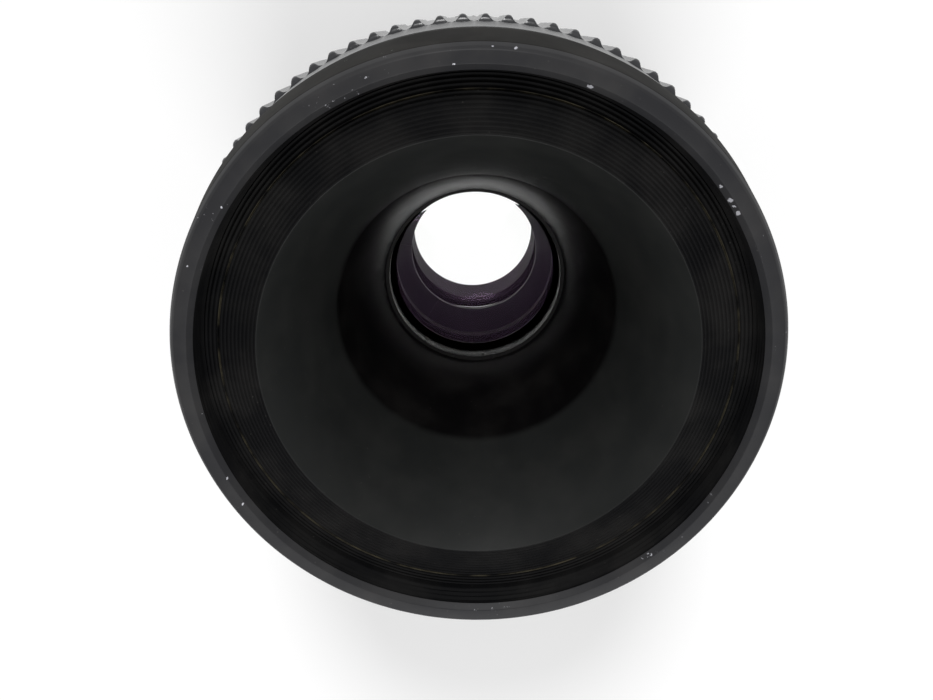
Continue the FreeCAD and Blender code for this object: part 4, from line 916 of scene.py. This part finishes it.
def fixed_barrel_piece():
    """The fixed barrel with its band, and below it the part with the window for the aperture's arm."""
    upper = rounded([
        (FIXED_BORE, WINDOW_TOP), (FIXED_R, WINDOW_TOP), (FIXED_R, BAND_FLOOR), (FIXED_BAND_R, BAND_FLOOR),
        (FIXED_BAND_R, BAND_TOP), (FIXED_UPPER_R, BAND_TOP), (FIXED_UPPER_R, FIXED_TOP),
        (SLEEVE_BORE, FIXED_TOP), (SLEEVE_BORE, SLEEVE_SEAT), (FIXED_BORE, SLEEVE_SEAT)], 0.10)
    foot_top = FIXED_FLOOR + FIXED_FOOT
    lower = [(FIXED_FOOT_BORE, FIXED_FLOOR), (FIXED_R, FIXED_FLOOR), (FIXED_R, WINDOW_TOP),
             (FIXED_BORE, WINDOW_TOP), (FIXED_BORE, foot_top), (FIXED_FOOT_BORE, foot_top)]
    meshes = [turned("fixed_upper", upper),
              turned("fixed_lower", lower, 208, WINDOW_HALF, 360.0 - 2 * WINDOW_HALF)]
    mesh = joined_meshes("fixed_barrel_look", meshes)
    finished("fixed_barrel_look", mesh, "fixed", ANODISED, ["fixed_barrel"], 35)


MOUNT_R, MOUNT_PITCH, MOUNT_DEPTH = 20.95, 1.0, 0.5
MOUNT_THREAD_FLOOR, MOUNT_THREAD_LENGTH, MOUNT_STEPS = 0.5, 4.0, 48
MOUNT_BORE, FLANGE_R, FLANGE_LEVEL, FLANGE_TOP = 18.2, 23.98, 4.5, 5.98
MOUNT_SCREW_CIRCLE, MOUNT_SCREW_ANGLES = 22.4, (30.0, 150.0, 270.0)
POCKET_R, POCKET_FLOOR, POCKET_TOP = 1.2, 4.3, 5.45


def mount_thread(z):
    """Radius of the mount's screw thread at a level, as a function of the angle."""
    fade = max(0.0, min(1.0, (z - 0.35) / 0.5, (4.45 - z) / 0.35))
    return lambda angle: MOUNT_R - MOUNT_DEPTH * (1.0 - tooth(z, angle, MOUNT_PITCH)) * fade


def mount_ring_piece():
    """The screw mount: its thread, its flange and the pockets of its screws."""
    levels = [MOUNT_THREAD_FLOOR + MOUNT_THREAD_LENGTH * i / MOUNT_STEPS for i in range(MOUNT_STEPS + 1)]
    outline = ([(MOUNT_BORE, 0.12), (MOUNT_BORE + 0.12, 0.0), (MOUNT_R - 0.5, 0.0)]
               + [(mount_thread(z), z) for z in levels]
               + [(FLANGE_R, FLANGE_LEVEL), (FLANGE_R, FLANGE_TOP), (MOUNT_BORE, FLANGE_TOP)])
    mesh = turned("mount_ring_look", outline, 224)
    drills = [upright_drill(POCKET_R, angle, MOUNT_SCREW_CIRCLE, POCKET_FLOOR, POCKET_TOP)
              for angle in MOUNT_SCREW_ANGLES]
    mesh = drilled("mount_ring_look", mesh, drills)
    finished("mount_ring_look", mesh, "fixed", CHROMED, ["mount_ring"], 32)


def click_spring_piece():
    """The spring under the click ball, on a mesh of its own, at one length."""
    work = bmesh.new()
    work.from_mesh(frame["nodes"]["click_spring"].data)
    bmesh.ops.remove_doubles(work, verts=work.verts, dist=1e-7)
    mesh = mesh_of("click_spring_look", work)
    piece = finished("click_spring_look", mesh, "fixed", STEEL, ["click_spring"], 40)
    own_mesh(piece)


fixed_barrel_piece()
mount_ring_piece()
click_spring_piece()

# Dials: plain numbers and marks

INDEX_ANGLE = -90.0
FOCAL, TURN, TRAVEL = 55.0, 300.0, 27.5
APERTURE_TURN = 50.0
FILL_HEIGHT = 0.012
CAPITAL_SHARE = 0.7
THIN_LINE, INDEX_LINE = 0.16, 0.28
INFINITY_INNER, INFINITY_OUTER, INFINITY_WIDE, INFINITY_TALL = 0.62, 0.86, 1.15, 0.9
DISTANCES = (2.0, 1.0, 0.7, 0.5, 0.4, 0.35, 0.3, 0.27, 0.25)
RATIOS = (10, 8, 6, 5, 4, 3, 2)
STOPS = ("2.8", "4", "5.6", "8", "11", "16", "22")
DEPTH_MARKS = (("8", 7.0), ("16", 13.0), ("22", 18.5))


def wrapped(mesh, radius, angle, z):
    """Bends a flat mesh round the barrel: x runs round it, y up, z outwards. Flat lengths are metres."""
    for vertex in mesh.vertices:
        x, y, out = vertex.co
        turn = math.radians(angle) + x / (radius * MM)
        r = radius * MM + out
        vertex.co = (r * math.cos(turn), r * math.sin(turn), z * MM + y)
    return mesh


def number(words, height, radius, angle, z):
    """Plain numbers, filled with paint, on a dial."""
    curve = bpy.data.curves.new("number", "FONT")
    curve.body = words
    curve.size = height * MM / CAPITAL_SHARE
    curve.align_x, curve.align_y = "CENTER", "CENTER"
    curve.extrude = FILL_HEIGHT * MM
    curve.resolution_u = 4
    holder = placed("number", curve)
    bpy.context.view_layer.update()
    mesh = bpy.data.meshes.new_from_object(holder.evaluated_get(bpy.context.evaluated_depsgraph_get()))
    bpy.data.objects.remove(holder)
    return wrapped(mesh, radius, angle, z)


def tick(width, height, radius, angle, z):
    """A short upright line on a dial."""
    work = bmesh.new()
    bmesh.ops.create_cube(work, size=1.0)
    bmesh.ops.scale(work, vec=(width * MM, height * MM, 2 * FILL_HEIGHT * MM), verts=work.verts)
    return wrapped(mesh_of("tick", work), radius, angle, z)


def infinity_ring(side, radius, angle, z):
    """One of the two flat rings, side by side, that mark the far end of the distance scale."""
    steps = 28
    work = bmesh.new()
    rows = []
    for size in (INFINITY_INNER, INFINITY_OUTER):
        row = []
        for i in range(steps):
            turn = 2 * math.pi * i / steps
            x = math.cos(turn) * size * INFINITY_WIDE + side * INFINITY_OUTER
            y = math.sin(turn) * size * INFINITY_TALL
            row.append(work.verts.new(Vector((x, y, FILL_HEIGHT)) * MM))
        rows.append(row)
    inner, outer = rows
    for i in range(steps):
        k = (i + 1) % steps
        work.faces.new((inner[i], outer[i], outer[k], inner[k]))
    return wrapped(mesh_of("ring", work), radius, angle, z)


def turn_for(distance):
    """How far the focusing ring has turned when the lens is focused at a distance in metres."""
    total = distance * 1000.0 / FOCAL - 2.0
    scale = (total - math.sqrt(total * total - 4.0)) / 2.0
    return scale * FOCAL / TRAVEL * TURN


def focus_dial():
    """Distances with their lines, and the ratios of size below them."""
    radius = FOCUS_SCALE_R
    line_level, ratio_level, number_level = FOCUS_FLOOR + 1.3, FOCUS_FLOOR + 3.0, FOCUS_FLOOR + 6.6
    pieces = []
    for distance in DISTANCES:
        angle = INDEX_ANGLE - turn_for(distance)
        pieces.append(number("%g" % distance, 1.9, radius, angle, number_level))
        pieces.append(tick(THIN_LINE, 1.5, radius, angle, line_level))
    pieces += [infinity_ring(side, radius, INDEX_ANGLE, number_level) for side in (-1.0, 1.0)]
    pieces.append(tick(THIN_LINE, 1.5, radius, INDEX_ANGLE, line_level))
    mesh = joined_meshes("focus_numbers", pieces)
    finished("focus_numbers", mesh, "focus", WHITE_FILL)
    pieces = [number("1:%d" % ratio, 1.25, radius, INDEX_ANGLE - FOCAL / ratio / TRAVEL * TURN, ratio_level)
              for ratio in RATIOS]
    mesh = joined_meshes("focus_ratios", pieces)
    finished("focus_ratios", mesh, "focus", AMBER_FILL)


def aperture_dial():
    """The apertures, one click apart."""
    step = APERTURE_TURN / (len(STOPS) - 1)
    pieces = [number(words, 1.7, APERTURE_R, INDEX_ANGLE - step * i, APERTURE_FLOOR + 1.75)
              for i, words in enumerate(STOPS)]
    mesh = joined_meshes("aperture_numbers", pieces)
    finished("aperture_numbers", mesh, "aperture", WHITE_FILL)


def band_dial():
    """The index line and the depth lines either side of it, on the fixed band."""
    radius = FIXED_BAND_R
    pieces = [tick(INDEX_LINE, 3.4, radius, INDEX_ANGLE, BAND_TOP - 1.9),
              tick(INDEX_LINE, 2.2, radius, INDEX_ANGLE, BAND_FLOOR + 1.3)]
    for words, spread in DEPTH_MARKS:
        for side in (-1.0, 1.0):
            angle = INDEX_ANGLE + side * spread
            pieces.append(tick(THIN_LINE, 1.6, radius, angle, BAND_TOP - 1.0))
            pieces.append(number(words, 1.35, radius, angle, BAND_TOP - 2.9))
    mesh = joined_meshes("band_marks", pieces)
    finished("band_marks", mesh, "fixed", WHITE_FILL)


DOT_R, DOT_FLATTENED, DOT_CIRCLE = 0.62, 0.16, 29.98


def mount_dot():
    """The red dot that shows where the lens's index lies, set in the mount base's wall."""
    work = bmesh.new()
    bmesh.ops.create_uvsphere(work, u_segments=32, v_segments=16, radius=DOT_R * MM)
    bmesh.ops.scale(work, vec=(1.0, 1.0, DOT_FLATTENED), verts=work.verts)
    mesh = wrapped(mesh_of("mount_dot", work), DOT_CIRCLE, INDEX_ANGLE, BASE_TOP - 1.35)
    finished("mount_dot", mesh, "fixed", RED_FILL)


focus_dial()
aperture_dial()
band_dial()
mount_dot()

# Stage, lights and camera, in metres

FLOOR_HALF = 3.0
FLOOR_COLOUR = (0.94, 0.94, 0.94)
# Seen by the camera, the floor glows by this share near the lens and wholly beyond the far distance
GLOW_NEAR, GLOW_START, GLOW_FULL = 0.15, 0.10, 0.60
WHITE = (1.0, 1.0, 1.0)
WORLD_SHOWN, WORLD_LIT = 1.0, 0.45


def mirrored_or_through(t, path):
    """1 for rays that come by a reflection or through glass, else 0."""
    return t.math("MAXIMUM", path.outputs["Is Glossy Ray"], path.outputs["Is Transmission Ray"])


def mixed_shader(t, factor, first, second):
    """Two shaders mixed by a factor."""
    mixed = t.add("ShaderNodeMixShader")
    t.link(factor, mixed.inputs[0])
    t.link(first.outputs[0], mixed.inputs[1])
    t.link(second.outputs[0], mixed.inputs[2])
    return mixed.outputs[0]


def floor_material():
    """A pale floor that shows white, keeps the shadow, and shows white in gloss and through glass."""
    material, t = empty_material("pale_floor")
    lit = t.add("ShaderNodeBsdfDiffuse")
    t.put(FLOOR_COLOUR, lit.inputs["Color"])
    glow = t.add("ShaderNodeEmission")
    path = t.add("ShaderNodeLightPath")
    away = t.add("ShaderNodeVectorMath", operation="LENGTH")
    t.link(t.add("ShaderNodeTexCoord").outputs["Object"], away.inputs[0])
    far = t.ramp(away.outputs["Value"], GLOW_START, GLOW_FULL)
    white = t.math("ADD", t.math("MULTIPLY", far, 1.0 - GLOW_NEAR), GLOW_NEAR)
    seen = t.math("MULTIPLY", path.outputs["Is Camera Ray"], white)
    share = t.math("MAXIMUM", seen, mirrored_or_through(t, path))
    surface = t.add("ShaderNodeOutputMaterial").inputs["Surface"]
    t.link(mixed_shader(t, share, lit, glow), surface)
    return material


def floor_piece():
    """A flat floor under the lens."""
    mesh = bpy.data.meshes.new("floor")
    corners = [(x * FLOOR_HALF, y * FLOOR_HALF, 0) for x, y in ((-1, -1), (1, -1), (1, 1), (-1, 1))]
    mesh.from_pydata(corners, [], [(0, 1, 2, 3)])
    mesh.materials.append(floor_material())
    floor = placed("floor", mesh)


def soft_light(name, place, aim, size, power):
    """A round area light that points at a place."""
    data = bpy.data.lights.new(name, "AREA")
    data.shape = "DISK"
    data.size = size
    data.energy = power
    lamp = placed(name, data)
    lamp.location = place
    lamp.rotation_euler = (Vector(aim) - Vector(place)).to_track_quat("-Z", "Y").to_euler()


def world_light():
    """White surroundings, brighter where they are seen or mirrored than where they light the lens."""
    world = bpy.data.worlds.new("pale_world")
    world.use_nodes = True
    world.node_tree.nodes.clear()
    t = Tree(world.node_tree)
    path = t.add("ShaderNodeLightPath")
    lit, shown = t.add("ShaderNodeBackground"), t.add("ShaderNodeBackground")
    for background, strength in ((lit, WORLD_LIT), (shown, WORLD_SHOWN)):
        t.put(WHITE, background.inputs["Color"])
        t.put(strength, background.inputs["Strength"])
    seen = t.math("MAXIMUM", path.outputs["Is Camera Ray"], mirrored_or_through(t, path))
    t.link(mixed_shader(t, seen, lit, shown), t.add("ShaderNodeOutputWorld").inputs["Surface"])
    bpy.context.scene.world = world


# The camera's pose, solved from the ellipses of the rim, the funnel's edge and the front glass's ring
CAMERA_PLACE = (-0.001652, 0.033414, 0.145128)
CAMERA_RIGHT = (0.99999, 0.0, 0.00503)
CAMERA_AHEAD = (0.00469, -0.36120, -0.93248)
SENSOR_WIDTH, FOCAL_LENGTH = 36.0, 35.284


def camera():
    """The camera, looking down into the front of the lens."""
    data = bpy.data.cameras.new("photo_camera")
    data.sensor_width = SENSOR_WIDTH
    data.lens = FOCAL_LENGTH
    data.clip_start = 0.005
    data.clip_end = 20.0
    holder = placed("photo_camera", data)
    ahead = Vector(CAMERA_AHEAD).normalized()
    upward = Vector(CAMERA_RIGHT).cross(ahead).normalized()
    right = ahead.cross(upward).normalized()
    turn = Matrix((right, upward, -ahead)).transposed()
    holder.matrix_world = Matrix.Translation(CAMERA_PLACE) @ turn.to_4x4()
    bpy.context.scene.camera = holder


floor_piece()
soft_light("key", (-0.03, 0.56, 0.54), (0, 0, 0.03), 0.18, 3.4)
soft_light("front", (0.05, -0.42, 0.50), (0, 0, 0.05), 0.35, 1.8)
world_light()
camera()
bpy.context.scene.view_settings.view_transform = "Standard"
